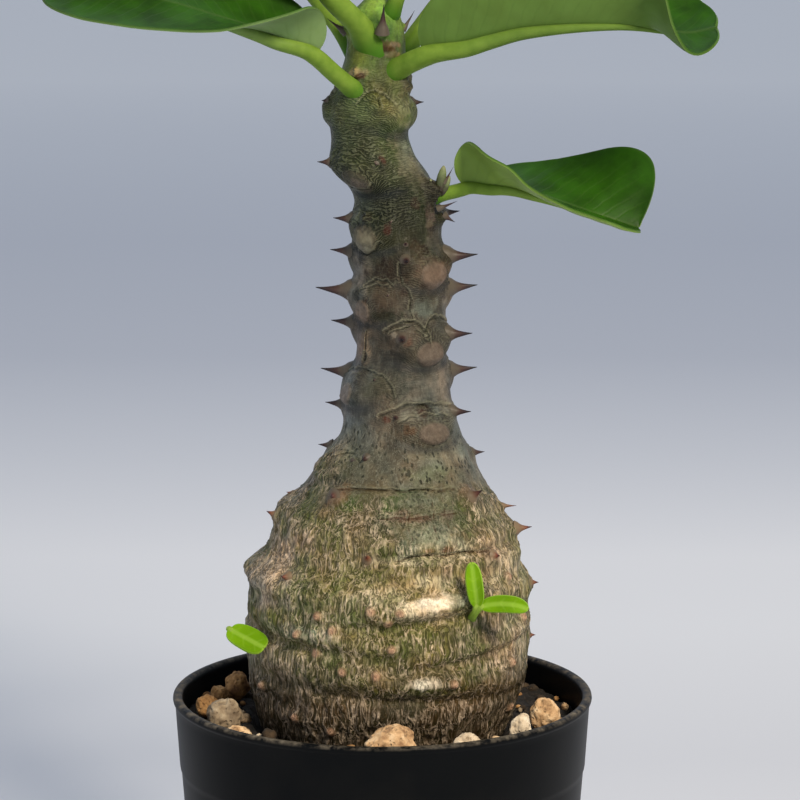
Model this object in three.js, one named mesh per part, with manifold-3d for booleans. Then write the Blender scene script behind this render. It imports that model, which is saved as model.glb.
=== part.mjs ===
// Potted Pachypodium windsorii: a spiny caudex plant in a 9 cm nursery pot.
// Millimetres, +Z up. The origin is the centre of the pot's underside; seen from -Y, +X is right.
import * as THREE from 'three';
import { mergeVertices } from 'three/addons/utils/BufferGeometryUtils.js';
import Module from 'manifold-3d';

const wasm = await Module();
wasm.setup();

// Driving dimensions

const gap = 0.3;                 // clearance between pieces that touch on the real plant

const potHeight = 85;
const potRimRadius = 45;
const potFootRadius = 38.2;
const potCollarHeight = 16;      // plain band under the lip, a step wider than the body
const potCollarStep = 0.25;
const potCollarFlare = 0.95;     // how much the collar widens from its foot to the lip
const potWall = 1.4;
const potLipHeight = 1.4;
const potLipWidth = 2.1;
const potLipReach = 0.45;        // how far the lip stands out over the collar
const potLipEdge = 0.5;          // bevel of the lip's edges
const potFootEdge = 0.8;
const potFloor = 2;
const potSides = 48;
const drainCount = 6;
const drainRadius = 3.5;
const drainRing = 23;
const drainSides = 16;

const soilLevel = 80;
const rootFoot = 38;             // the taproot ends here, on the floor of its hole
const rootClearance = 0.65;      // room between the buried caudex and its hole
const grainClearance = 2.1;      // room between loose grains and the caudex

const trunkColumns = 30;
const ringStep = 2.3;            // height between the trunk's rings in the open
const buriedRingStep = 6.2;
const scarHeight = 0.75;         // how far a leaf scar stands out
const knobHeightOut = 0.8;
const knobRadius = 1.6;
const scarRiseToSpines = 3.6;    // a leaf's two spines stand above its scar
const spinePairSpread = 36;      // degrees to each side of the scar
const spineSides = 5;
const spineUpturn = 0.008;       // how fast a spine bends upward along its length

const bladeThickness = 0.7;
const bladeEndShare = 0.16;      // a blade's width at its two ends, as a share of the widest

const degrees = Math.PI / 180;
const up = new THREE.Vector3(0, 0, 1);

// Small helpers

let randomState = 20417;
function random() {
  randomState = (Math.imul(randomState, 1664525) + 1013904223) >>> 0;
  return randomState / 4294967296;
}

function between(low, high) {
  return low + (high - low) * random();
}

function clamp(value, low, high) {
  return Math.min(high, Math.max(low, value));
}

function smoothstep(edge0, edge1, value) {
  const t = clamp((value - edge0) / (edge1 - edge0), 0, 1);
  return t * t * (3 - 2 * t);
}

function bell(distance, width) {
  return Math.exp(-(distance * distance) / (width * width));
}

// Degrees between two directions, from -180 to 180.
function turnBetween(a, b) {
  return ((((a - b) % 360) + 540) % 360) - 180;
}

// A smooth curve through a table of rows [position, value, value ...], read at one position.
function readTable(table, position, column) {
  const last = table.length - 1;
  const place = clamp(position, table[0][0], table[last][0]);
  let i = 0;
  while (i < last - 1 && place > table[i + 1][0]) i += 1;
  const slope = (k) => {
    const a = Math.max(0, k - 1);
    const b = Math.min(last, k + 1);
    return (table[b][column] - table[a][column]) / (table[b][0] - table[a][0]);
  };
  const span = table[i + 1][0] - table[i][0];
  const t = (place - table[i][0]) / span;
  const h00 = (1 + 2 * t) * (1 - t) * (1 - t);
  const h10 = t * (1 - t) * (1 - t);
  const h01 = t * t * (3 - 2 * t);
  const h11 = t * t * (t - 1);
  return h00 * table[i][column] + h10 * span * slope(i)
    + h01 * table[i + 1][column] + h11 * span * slope(i + 1);
}

function geometryFrom(points, faces) {
  const geometry = new THREE.BufferGeometry();
  const flat = points.flatMap((p) => [p.x, p.y, p.z]);
  geometry.setAttribute('position', new THREE.Float32BufferAttribute(flat, 3));
  geometry.setIndex(faces.flat());
  return geometry;
}

function solidFrom(geometry) {
  const bare = geometry.clone();
  bare.deleteAttribute('normal');
  bare.deleteAttribute('uv');
  const welded = mergeVertices(bare, 1e-5);
  return new wasm.Manifold(new wasm.Mesh({
    numProp: 3,
    vertProperties: new Float32Array(welded.attributes.position.array),
    triVerts: new Uint32Array(welded.index.array),
  }));
}

function geometryOf(solid) {
  const mesh = solid.getMesh();
  const geometry = new THREE.BufferGeometry();
  geometry.setAttribute('position', new THREE.BufferAttribute(mesh.vertProperties, 3));
  geometry.setIndex(new THREE.BufferAttribute(mesh.triVerts, 1));
  return geometry;
}

function joined(solids) {
  return solids.reduce((whole, solid) => whole.add(solid));
}

// The largest of a solid's separate bodies, without the scraps that a cut leaves.
function mainBody(solid) {
  const bodies = solid.decompose();
  return bodies.reduce((best, body) => (body.volume() > best.volume() ? body : best));
}

// A closed skin over rings of points that run anticlockwise seen from the last ring's side.
function skinOverRings(rings) {
  const count = rings[0].length;
  const points = rings.flat();
  const faces = [];
  const middleOf = (ring) => ring.reduce((sum, p) => sum.add(p), new THREE.Vector3())
    .divideScalar(ring.length);
  for (let k = 0; k < rings.length - 1; k += 1) {
    for (let i = 0; i < count; i += 1) {
      const j = (i + 1) % count;
      const a = k * count + i;
      const b = k * count + j;
      faces.push([a, b, b + count], [a, b + count, a + count]);
    }
  }
  const foot = points.push(middleOf(rings[0])) - 1;
  const head = points.push(middleOf(rings[rings.length - 1])) - 1;
  const lastRing = (rings.length - 1) * count;
  for (let i = 0; i < count; i += 1) {
    const j = (i + 1) % count;
    faces.push([foot, j, i], [head, lastRing + i, lastRing + j]);
  }
  return geometryFrom(points, faces);
}

// A solid turned round the Z axis from a closed outline of [radius, height] points.
function turned(outline, sides) {
  const points = outline.map(([radius, height]) => new THREE.Vector2(radius, height));
  const geometry = new THREE.LatheGeometry(points, sides);
  geometry.rotateX(Math.PI / 2);
  return solidFrom(geometry);
}

// Pot

const collarFoot = potHeight - potCollarHeight;
const collarTopRadius = potRimRadius - potLipReach;
const collarFootRadius = collarTopRadius - potCollarFlare;
const bodyTopRadius = collarFootRadius - potCollarStep;

function potInnerRadius(height) {
  const slope = (bodyTopRadius - potFootRadius) / collarFoot;
  return Math.min(potFootRadius - potWall + slope * height, collarTopRadius - potWall - 0.2);
}

function potSolid() {
  const lipFoot = potHeight - potLipHeight;
  const lipInner = potRimRadius - potLipWidth;
  const outline = [
    [0, 0],
    [potFootRadius - potFootEdge, 0],
    [potFootRadius, potFootEdge],
    [bodyTopRadius, collarFoot - potLipEdge],
    [collarFootRadius, collarFoot],
    [collarTopRadius, lipFoot],
    [potRimRadius, lipFoot + potLipReach],
    [potRimRadius, potHeight - potLipEdge],
    [potRimRadius - potLipEdge, potHeight],
    [lipInner + potLipEdge, potHeight],
    [lipInner, potHeight - potLipEdge],
    [potInnerRadius(lipFoot), lipFoot - potLipEdge],
    [potInnerRadius(potFloor + 1), potFloor + 1],
    [potInnerRadius(potFloor) - 1, potFloor],
    [0, potFloor],
  ];
  const drain = new THREE.CylinderGeometry(drainRadius, drainRadius, 3 * potFloor, drainSides);
  drain.rotateX(Math.PI / 2);
  let pot = turned(outline, potSides);
  for (let i = 0; i < drainCount; i += 1) {
    const angle = (i / drainCount) * 2 * Math.PI;
    const hole = drain.clone();
    hole.translate(drainRing * Math.cos(angle), drainRing * Math.sin(angle), potFloor / 2);
    pot = pot.subtract(solidFrom(hole));
  }
  return pot;
}

// Trunk: a swollen caudex that narrows to an upright stem.

// [height, middle to the right of the pot's axis, radius]
const trunkOutline = [
  [38, 0, 6.5],
  [46, 0, 9],
  [54, 0, 13],
  [62, 0.1, 18],
  [70, 0.2, 22.6],
  [76, 0.3, 25.6],
  [82, 0.7, 27.8],
  [88, 1, 29.3],
  [94, 1, 30],
  [100, 0.9, 30],
  [105, 1.2, 29.7],
  [109.5, 1.6, 29.8],
  [113, 0.9, 28.6],
  [117, 1.9, 26.6],
  [120.5, 2.2, 25.6],
  [126, 1.6, 22.7],
  [129, 2.6, 20],
  [131.5, 3, 18.5],
  [134.5, 3.1, 16.8],
  [140, 3.9, 13.4],
  [144, 3.8, 12],
  [149, 3.3, 11.2],
  [156, 4, 9.6],
  [161, 4, 9.3],
  [168, 4, 9.3],
  [176, 3.8, 9.4],
  [182, 3.4, 9],
  [187, 3.6, 9],
  [192, 2.6, 8.7],
  [196, 0.5, 9.2],
  [200, -1.7, 8.7],
  [204, -2.5, 8],
  [208.5, -2.6, 8.5],
  [213, -2.6, 7.7],
  [220, -1.3, 6.4],
  [226, -1.2, 5.8],
  [230, -1.2, 4.6],
  [232.5, -1.2, 2.4],
];
const trunkTop = trunkOutline[trunkOutline.length - 1][0];

// Growth ridges and creases across the caudex: the height and direction of the middle, half
// height, half width in degrees, how far the bark stands out there (or in, where negative), and
// how many millimetres the ridge climbs in a quarter turn.
const ridges = [
  { height: 132.2, angle: -75, halfHeight: 1, halfWidth: 55, rise: -0.7, climb: 0 },
  { height: 130, angle: -140, halfHeight: 1.8, halfWidth: 45, rise: 0.8, climb: 1 },
  { height: 126.8, angle: 5, halfHeight: 2.2, halfWidth: 40, rise: 0.9, climb: -2 },
  { height: 126.3, angle: 178, halfHeight: 2, halfWidth: 40, rise: 1, climb: 1 },
  { height: 122.5, angle: -85, halfHeight: 2.4, halfWidth: 40, rise: 0.6, climb: 1 },
  { height: 119.6, angle: -62, halfHeight: 1, halfWidth: 60, rise: -0.8, climb: 0 },
  { height: 117, angle: -35, halfHeight: 1.9, halfWidth: 45, rise: 0.7, climb: -2 },
  { height: 116.6, angle: -115, halfHeight: 2, halfWidth: 30, rise: -0.5, climb: 2 },
  { height: 112.4, angle: -172, halfHeight: 2, halfWidth: 50, rise: 1.2, climb: -2 },
  { height: 110.4, angle: -66, halfHeight: 2.2, halfWidth: 34, rise: 1.3, climb: 7 },
  { height: 106.6, angle: -75, halfHeight: 1.4, halfWidth: 55, rise: -1, climb: 4 },
  { height: 103.6, angle: -122, halfHeight: 2.2, halfWidth: 42, rise: 0.9, climb: -4 },
  { height: 100.6, angle: -138, halfHeight: 1.3, halfWidth: 40, rise: -1, climb: -3 },
  { height: 101, angle: -28, halfHeight: 2, halfWidth: 36, rise: 0.8, climb: 3 },
  { height: 97.6, angle: -58, halfHeight: 1.2, halfWidth: 40, rise: -0.7, climb: 4 },
  { height: 93.8, angle: -76, halfHeight: 2, halfWidth: 44, rise: 1, climb: -3 },
  { height: 90, angle: -82, halfHeight: 1.2, halfWidth: 60, rise: -0.7, climb: -3 },
  { height: 85, angle: -112, halfHeight: 2, halfWidth: 50, rise: 0.5, climb: 2 },
  { height: 122, angle: 95, halfHeight: 1.6, halfWidth: 60, rise: -0.7, climb: 2 },
  { height: 115, angle: 70, halfHeight: 2.2, halfWidth: 50, rise: 1, climb: -3 },
  { height: 108, angle: 115, halfHeight: 1.4, halfWidth: 55, rise: -0.9, climb: 4 },
  { height: 103, angle: 60, halfHeight: 2.2, halfWidth: 50, rise: 0.9, climb: 4 },
  { height: 97, angle: 120, halfHeight: 1.3, halfWidth: 60, rise: -0.8, climb: -3 },
  { height: 91, angle: 80, halfHeight: 2, halfWidth: 60, rise: 0.8, climb: 3 },
];

// Leaf scars of the stem, in pairs on opposite sides, each pair a quarter turn from the last.
// Every scar has two spines above it. Lengths are of the spines on the two sides.
const scars = [
  { height: 134.5, angle: -154, radius: 2.4, lengths: [3.4, 2.6] },
  { height: 133, angle: 44, radius: 2.4, lengths: [3.4, 3.2] },
  { height: 143, angle: -57, radius: 3, lengths: [2.2, 5] },
  { height: 143.6, angle: 134, radius: 2.5, lengths: [5.4, 4.6] },
  { height: 151, angle: -155, radius: 2.3, lengths: [7.6, 6.6] },
  { height: 151, angle: 44, radius: 2.4, lengths: [6.8, 6.8] },
  { height: 159.3, angle: -52, radius: 2.6, lengths: [6.2, 6.6] },
  { height: 161.2, angle: 136, radius: 2.4, lengths: [5.6, 6] },
  { height: 168, angle: -150, radius: 2.5, lengths: [8.8, 4.6] },
  { height: 168.6, angle: 43, radius: 2.5, lengths: [7.2, 7] },
  { height: 176, angle: -46, radius: 2.8, lengths: [4.4, 7.8] },
  { height: 176.4, angle: 140, radius: 2.4, lengths: [5.4, 5.6] },
  { height: 183.6, angle: -138, radius: 3.2, lengths: [5.2, 3] },
  { height: 184, angle: 62, radius: 2.5, lengths: [5.6, 6.4] },
  { height: 196.3, angle: -132, radius: 3, lengths: [4.2, 1.4] },
  { height: 197.5, angle: 92, radius: 2.4, lengths: [4.6, 4.4] },
  { height: 207.6, angle: -37, radius: 2.6, lengths: [1.4, 3.6] },
  { height: 208, angle: 150, radius: 2.2, lengths: [3.8, 2.2] },
];

// Spines that stand by themselves: on the caudex's shoulder, the side shoot and the crown.
const loneSpines = [
  { height: 130.4, angle: -38, length: 3.4, base: 2.6, lift: 28 },
  { height: 130.8, angle: -129, length: 1.7, base: 2.5, lift: 0 },
  { height: 128.2, angle: 179, length: 1.4, base: 1.1, lift: 10 },
  { height: 124.4, angle: -172, length: 2.2, base: 2.2, lift: 25 },
  { height: 125.8, angle: -4, length: 3.4, base: 1.3, lift: 0 },
  { height: 121, angle: -4, length: 3.6, base: 2.7, lift: 5 },
  { height: 119.7, angle: -101, length: 1.7, base: 2.2, lift: 20 },
  { height: 118.4, angle: -39, length: 1.9, base: 2.2, lift: 10 },
  { height: 114.4, angle: -137, length: 1.6, base: 2, lift: 10 },
  { height: 109, angle: -2, length: 1.2, base: 2, lift: 0 },
  { height: 97.6, angle: -3, length: 1.1, base: 1.8, lift: 0 },
  { height: 126, angle: 70, length: 3.4, base: 2.2, lift: 10 },
  { height: 122, angle: 115, length: 2.8, base: 2.2, lift: 10 },
  { height: 117, angle: 40, length: 2, base: 2, lift: 10 },
  { height: 114, angle: 150, length: 1.8, base: 2, lift: 10 },
  { height: 187.4, angle: -14, length: 3.6, base: 1.7, lift: -30 },
  { height: 191, angle: 2, length: 3.4, base: 0.8, lift: 45 },
  { height: 222, angle: -165, length: 8.6, base: 1.8, lift: 38 },
  { height: 226.5, angle: -70, length: 7.4, base: 1.5, lift: 66 },
  { height: 229, angle: 175, length: 5, base: 1.1, lift: 60 },
  { height: 227, angle: 25, length: 5, base: 1.1, lift: 55 },
];

// Old leaf bases on the caudex, worn down to small knobs: [height, direction].
const knobs = [
  [109.6, -97], [109.4, -86], [107.7, -119], [106.9, -90], [105.1, -112], [103.5, -127],
  [101.7, -88], [99.9, -119], [96.7, -107], [96.2, -94], [93.7, -64], [95.2, -31],
  [85.1, -130], [83.2, -113], [84.6, -25], [113.5, -30], [104, -20], [90, -150],
];
for (let i = 0; i < 16; i += 1) {
  knobs.push([between(84, 118), between(5, 205)]);
}

function distanceOnBark(height, angle, place) {
  const radius = readTable(trunkOutline, place.height, 2);
  const across = turnBetween(angle, place.angle) * degrees * radius;
  return [across, height - place.height];
}

// The bark's distance from the trunk's own middle line at a height and direction.
function barkRadius(height, angle) {
  const aboveSoil = smoothstep(soilLevel - 3, soilLevel + 3, height);
  let relief = 0;
  for (const ridge of ridges) {
    const turn = turnBetween(angle, ridge.angle);
    const crest = ridge.height + (ridge.climb * turn) / 90;
    relief += ridge.rise * bell(height - crest, ridge.halfHeight) * bell(turn, ridge.halfWidth);
  }
  for (const scar of scars) {
    const [x, z] = distanceOnBark(height, angle, scar);
    const edge = Math.hypot(x, z) / scar.radius;
    relief += scarHeight * (1 - smoothstep(0.6, 1.25, edge));
  }
  for (const [knobHeight, knobAngle] of knobs) {
    const [x, z] = distanceOnBark(height, angle, { height: knobHeight, angle: knobAngle });
    relief += knobHeightOut * bell(Math.hypot(x, z), knobRadius);
  }
  return readTable(trunkOutline, height, 2) + relief * aboveSoil;
}

function barkPoint(height, angle, radius) {
  return new THREE.Vector3(
    readTable(trunkOutline, height, 1) + radius * Math.cos(angle * degrees),
    radius * Math.sin(angle * degrees),
    height,
  );
}

function trunkHeights() {
  const heights = [];
  let height = rootFoot;
  while (height < trunkTop - 0.5) {
    heights.push(height);
    const buried = height < soilLevel - 4;
    height += buried ? buriedRingStep : ringStep;
  }
  heights.push(trunkTop);
  return heights;
}

function trunkBody(extra) {
  const rings = trunkHeights().map((height) => {
    const ring = [];
    for (let i = 0; i < trunkColumns; i += 1) {
      const angle = (i / trunkColumns) * 360;
      ring.push(barkPoint(height, angle, barkRadius(height, angle) + extra));
    }
    return ring;
  });
  return solidFrom(skinOverRings(rings));
}

// A spine with a swollen foot, sunk into the bark and bent a little upward at its tip.
function spineSolid({ height, angle, length, base, lift }) {
  const root = barkPoint(height, angle, barkRadius(height, angle));
  const outward = new THREE.Vector3(Math.cos(angle * degrees), Math.sin(angle * degrees), 0);
  const direction = outward.clone().multiplyScalar(Math.cos(lift * degrees))
    .addScaledVector(up, Math.sin(lift * degrees));
  const side = new THREE.Vector3().crossVectors(up, outward);
  const across = new THREE.Vector3().crossVectors(direction, side);
  const stages = [[-1.4, 1.25], [0.36 * length, 0.32], [length, 0.04]];
  const rings = stages.map(([along, width]) => {
    const middle = root.clone().addScaledVector(direction, along);
    middle.addScaledVector(up, spineUpturn * along * Math.max(0, along));
    const ring = [];
    for (let i = 0; i < spineSides; i += 1) {
      const turn = (i / spineSides) * 2 * Math.PI;
      ring.push(middle.clone()
        .addScaledVector(side, base * width * Math.cos(turn))
        .addScaledVector(across, base * width * Math.sin(turn)));
    }
    return ring;
  });
  return solidFrom(skinOverRings(rings));
}

function pairedSpines() {
  return scars.flatMap(({ height, angle, lengths }) => [-1, 1].map((hand, i) => ({
    height: height + scarRiseToSpines,
    angle: angle + hand * spinePairSpread,
    length: lengths[i],
    base: clamp(0.33 * lengths[i] + 0.35, 0.9, 2.7),
    lift: 1,
  })));
}

const sideShoot = { height: 192.4, angle: -8, rootDepth: 7.2, rise: 0.25 };

// A short branch low under the crown, which carries a leaf of its own.
function sideShootSolid(extra) {
  const sides = 8;
  const root = barkPoint(sideShoot.height, sideShoot.angle, sideShoot.rootDepth);
  const outward = new THREE.Vector3(Math.cos(sideShoot.angle * degrees),
    Math.sin(sideShoot.angle * degrees), sideShoot.rise).normalize();
  const side = new THREE.Vector3().crossVectors(up, outward).normalize();
  const across = new THREE.Vector3().crossVectors(outward, side);
  const stages = [[0, 3.6], [2.4, 3.4], [4.2, 2.7], [5.4, 1.7], [5.5 + extra, 1.7]];
  const rings = stages.map(([along, radius]) => {
    const middle = root.clone().addScaledVector(outward, along);
    const ring = [];
    for (let i = 0; i < sides; i += 1) {
      const turn = (i / sides) * 2 * Math.PI;
      ring.push(middle.clone().addScaledVector(side, (radius + extra) * Math.cos(turn))
        .addScaledVector(across, (radius + extra) * Math.sin(turn)));
    }
    return ring;
  });
  return solidFrom(skinOverRings(rings));
}

function trunkSolid() {
  const spines = [...pairedSpines(), ...loneSpines].map(spineSolid);
  return joined([trunkBody(0), sideShootSolid(0), ...spines]);
}

// Substrate: fines with pumice and fired-clay grains standing out of them.

// [x, y, z, width, depth, height] of the large grains
const largeGrains = [
  [-33.2, -13, 82.9, 8.4, 7.6, 8.4],
  [-38, -3, 81.9, 4.6, 4.6, 5.6],
  [-35.5, 6, 81.6, 4.6, 4.4, 5.2],
  [-32.6, 12, 82.2, 5.2, 5, 6.6],
  [-30, -24, 81.6, 7.2, 6, 5.2],
  [2.1, -36, 82.9, 11, 8.6, 8.6],
  [17.5, -33.4, 82, 6.4, 5.6, 6.4],
  [29, -20.5, 82.2, 5.4, 5.2, 6.8],
  [34.3, -12, 82.6, 7.2, 6.6, 8],
];
const smallGrainCount = 32;

function grainSolid([x, y, z, width, depth, height], detail) {
  const geometry = mergeVertices(new THREE.IcosahedronGeometry(1, detail).deleteAttribute('normal')
    .deleteAttribute('uv'), 1e-4);
  const position = geometry.attributes.position;
  for (let i = 0; i < position.count; i += 1) {
    const swell = between(0.84, 1.1);
    position.setXYZ(i, position.getX(i) * swell, position.getY(i) * swell, position.getZ(i) * swell);
  }
  geometry.scale(width / 2, depth / 2, height / 2);
  geometry.rotateZ(between(-0.5, 0.5));
  geometry.translate(x, y, z);
  return solidFrom(geometry);
}

function soilSolid() {
  const wallInside = (height) => potInnerRadius(height) - gap;
  const holeAt = (height) => readTable(trunkOutline, height, 2) + rootClearance;
  const outline = [
    [0, potFloor],
    [wallInside(potFloor) - 1.4, potFloor],
    [wallInside(potFloor + 1.2), potFloor + 1.2],
    [wallInside(soilLevel), soilLevel],
    [holeAt(soilLevel) + 1, soilLevel + 0.2],
    [holeAt(76), 76],
    [holeAt(62), 62],
    [holeAt(46), 46],
    [holeAt(rootFoot), rootFoot],
    [0, rootFoot],
  ];
  const grains = largeGrains.map((grain) => grainSolid(grain, 1));
  for (let i = 0; i < smallGrainCount; i += 1) {
    const angle = ((i + between(-0.3, 0.3)) / smallGrainCount) * 360;
    const ring = between(32, 39.5);
    const size = between(4, 6.6);
    grains.push(grainSolid([
      ring * Math.cos(angle * degrees),
      ring * Math.sin(angle * degrees),
      soilLevel + between(-0.6, 0.6),
      size,
      size * between(0.75, 1),
      size * between(0.65, 0.95),
    ], 0));
  }
  // Grains stay inside the pot's wall and clear of the caudex.
  const insideWall = turned([
    [0, 60], [wallInside(60), 60], [wallInside(potHeight), potHeight],
    [wallInside(potHeight), 92], [0, 92],
  ], potSides);
  const besideCaudex = turned([
    [0, 70], ...[76, 80, 84, 88, 92, 96].map((height) => [
      readTable(trunkOutline, height, 2) + grainClearance, height]), [0, 96],
  ], potSides);
  const top = joined(grains).intersect(insideWall).subtract(besideCaudex);
  return mainBody(turned(outline, potSides).add(top));
}

// Leaves

// A blade on a rib. Fold angles are read at the place along the blade, 0 to 1: how steeply each
// half rises from the rib, its left half first, seen from above with the tip ahead.
function leafSolid(leaf) {
  const rib = new THREE.CatmullRomCurve3(leaf.rib.map((p) => new THREE.Vector3(...p)));
  const stalk = leaf.stalk;
  const { halfStations: half, stations } = leaf;
  const facing = new THREE.Vector3(...leaf.facing);
  const frameAt = (place) => {
    const point = rib.getPointAt(clamp(place, 0, 1));
    const ahead = rib.getTangentAt(clamp(place, 0, 1));
    const left = new THREE.Vector3().crossVectors(facing, ahead).normalize();
    const above = new THREE.Vector3().crossVectors(ahead, left).normalize();
    return { point, ahead, left, above };
  };
  const rows = [];
  for (let k = 0; k <= stations; k += 1) {
    const along = (1 - Math.cos((k / stations) * Math.PI)) / 2;
    const { point, ahead, left, above } = frameAt(stalk + (1 - stalk) * along);
    const full = Math.max(bladeEndShare,
      (1 - Math.abs(2 * along - 1) ** leaf.squareness) ** leaf.taper);
    const shape = full * (1 + leaf.tipWidth * (along - 0.5));
    const row = [];
    for (let i = -half; i <= half; i += 1) {
      const hand = Math.sign(i) || 1;
      const fold = readTable(leaf.folds, along, hand < 0 ? 1 : 2) * degrees;
      const width = shape * leaf.halfWidth;
      const steps = Math.abs(i);
      const place = point.clone();
      let lean = fold;
      for (let n = 0; n < steps; n += 1) {
        lean = fold + leaf.curl * degrees * ((n + 0.5) / half - 0.5);
        place.addScaledVector(left, -hand * Math.cos(lean) * (width / half));
        place.addScaledVector(above, Math.sin(lean) * (width / half));
      }
      const reach = (steps / half) ** 2;
      place.addScaledVector(ahead, reach * leaf.sweep * (along - 0.45) * width);
      const tilt = steps === 0 ? 0 : lean;
      const normal = above.clone().multiplyScalar(Math.cos(tilt))
        .addScaledVector(left, hand * Math.sin(tilt));
      row.push({ place, normal });
    }
    rows.push(row);
  }
  const wide = 2 * half + 1;
  const points = [];
  for (const side of [1, -1]) {
    for (const row of rows) {
      for (const { place, normal } of row) {
        points.push(place.clone().addScaledVector(normal, (side * bladeThickness) / 2));
      }
    }
  }
  const below = rows.length * wide;
  const faces = [];
  for (let k = 0; k < stations; k += 1) {
    for (let i = 0; i < wide - 1; i += 1) {
      const a = k * wide + i;
      const b = a + 1;
      const c = a + wide;
      const d = c + 1;
      faces.push([a, b, d], [a, d, c]);
      faces.push([below + a, below + d, below + b], [below + a, below + c, below + d]);
    }
    for (const [a, b] of [[k * wide, (k + 1) * wide], [(k + 2) * wide - 1, (k + 1) * wide - 1]]) {
      faces.push([a, b, below + b], [a, below + b, below + a]);
    }
  }
  for (let i = 0; i < wide - 1; i += 1) {
    const a = i;
    const b = i + 1;
    faces.push([b, a, below + a], [b, below + a, below + b]);
    const c = stations * wide + i;
    const d = c + 1;
    faces.push([c, d, below + d], [c, below + d, below + c]);
  }
  const blade = solidFrom(geometryFrom(points, faces));
  return blade.add(stalkSolid(leaf, frameAt));
}

// The leaf stalk, which runs on under the blade as its rib and thins towards the tip.
function stalkSolid(leaf, frameAt) {
  const ribEnd = leaf.stalk + (1 - leaf.stalk) * 0.8;
  const { stalkSteps, stalkSides } = leaf;
  const rings = [];
  for (let k = 0; k <= stalkSteps; k += 1) {
    const place = (k / stalkSteps) * ribEnd;
    const { point, left, above } = frameAt(place);
    const past = Math.max(0, (place - leaf.stalk) / (ribEnd - leaf.stalk));
    const footSwell = 1 + 0.25 * Math.max(0, 1 - place / (0.5 * leaf.stalk)) ** 2;
    const radius = leaf.stalkRadius * (1 - 0.8 * past ** 0.8) * footSwell;
    const middle = point.clone().addScaledVector(above, -0.75 * radius * smoothstep(0, 0.2, past));
    const ring = [];
    for (let i = 0; i < stalkSides; i += 1) {
      const turn = (i / stalkSides) * 2 * Math.PI;
      ring.push(middle.clone().addScaledVector(left, radius * Math.cos(turn))
        .addScaledVector(above, 0.85 * radius * Math.sin(turn)));
    }
    rings.push(ring);
  }
  return solidFrom(skinOverRings(rings));
}

// What a leaf has unless its own entry says otherwise. Facing is where its upper face looks.
const usualLeaf = {
  stations: 9,
  halfStations: 2,
  stalkSteps: 7,
  stalkSides: 6,
  squareness: 2.7,
  taper: 0.55,
  curl: 24,
  sweep: 0.5,
  facing: [0, 0, 1],
};

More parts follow.
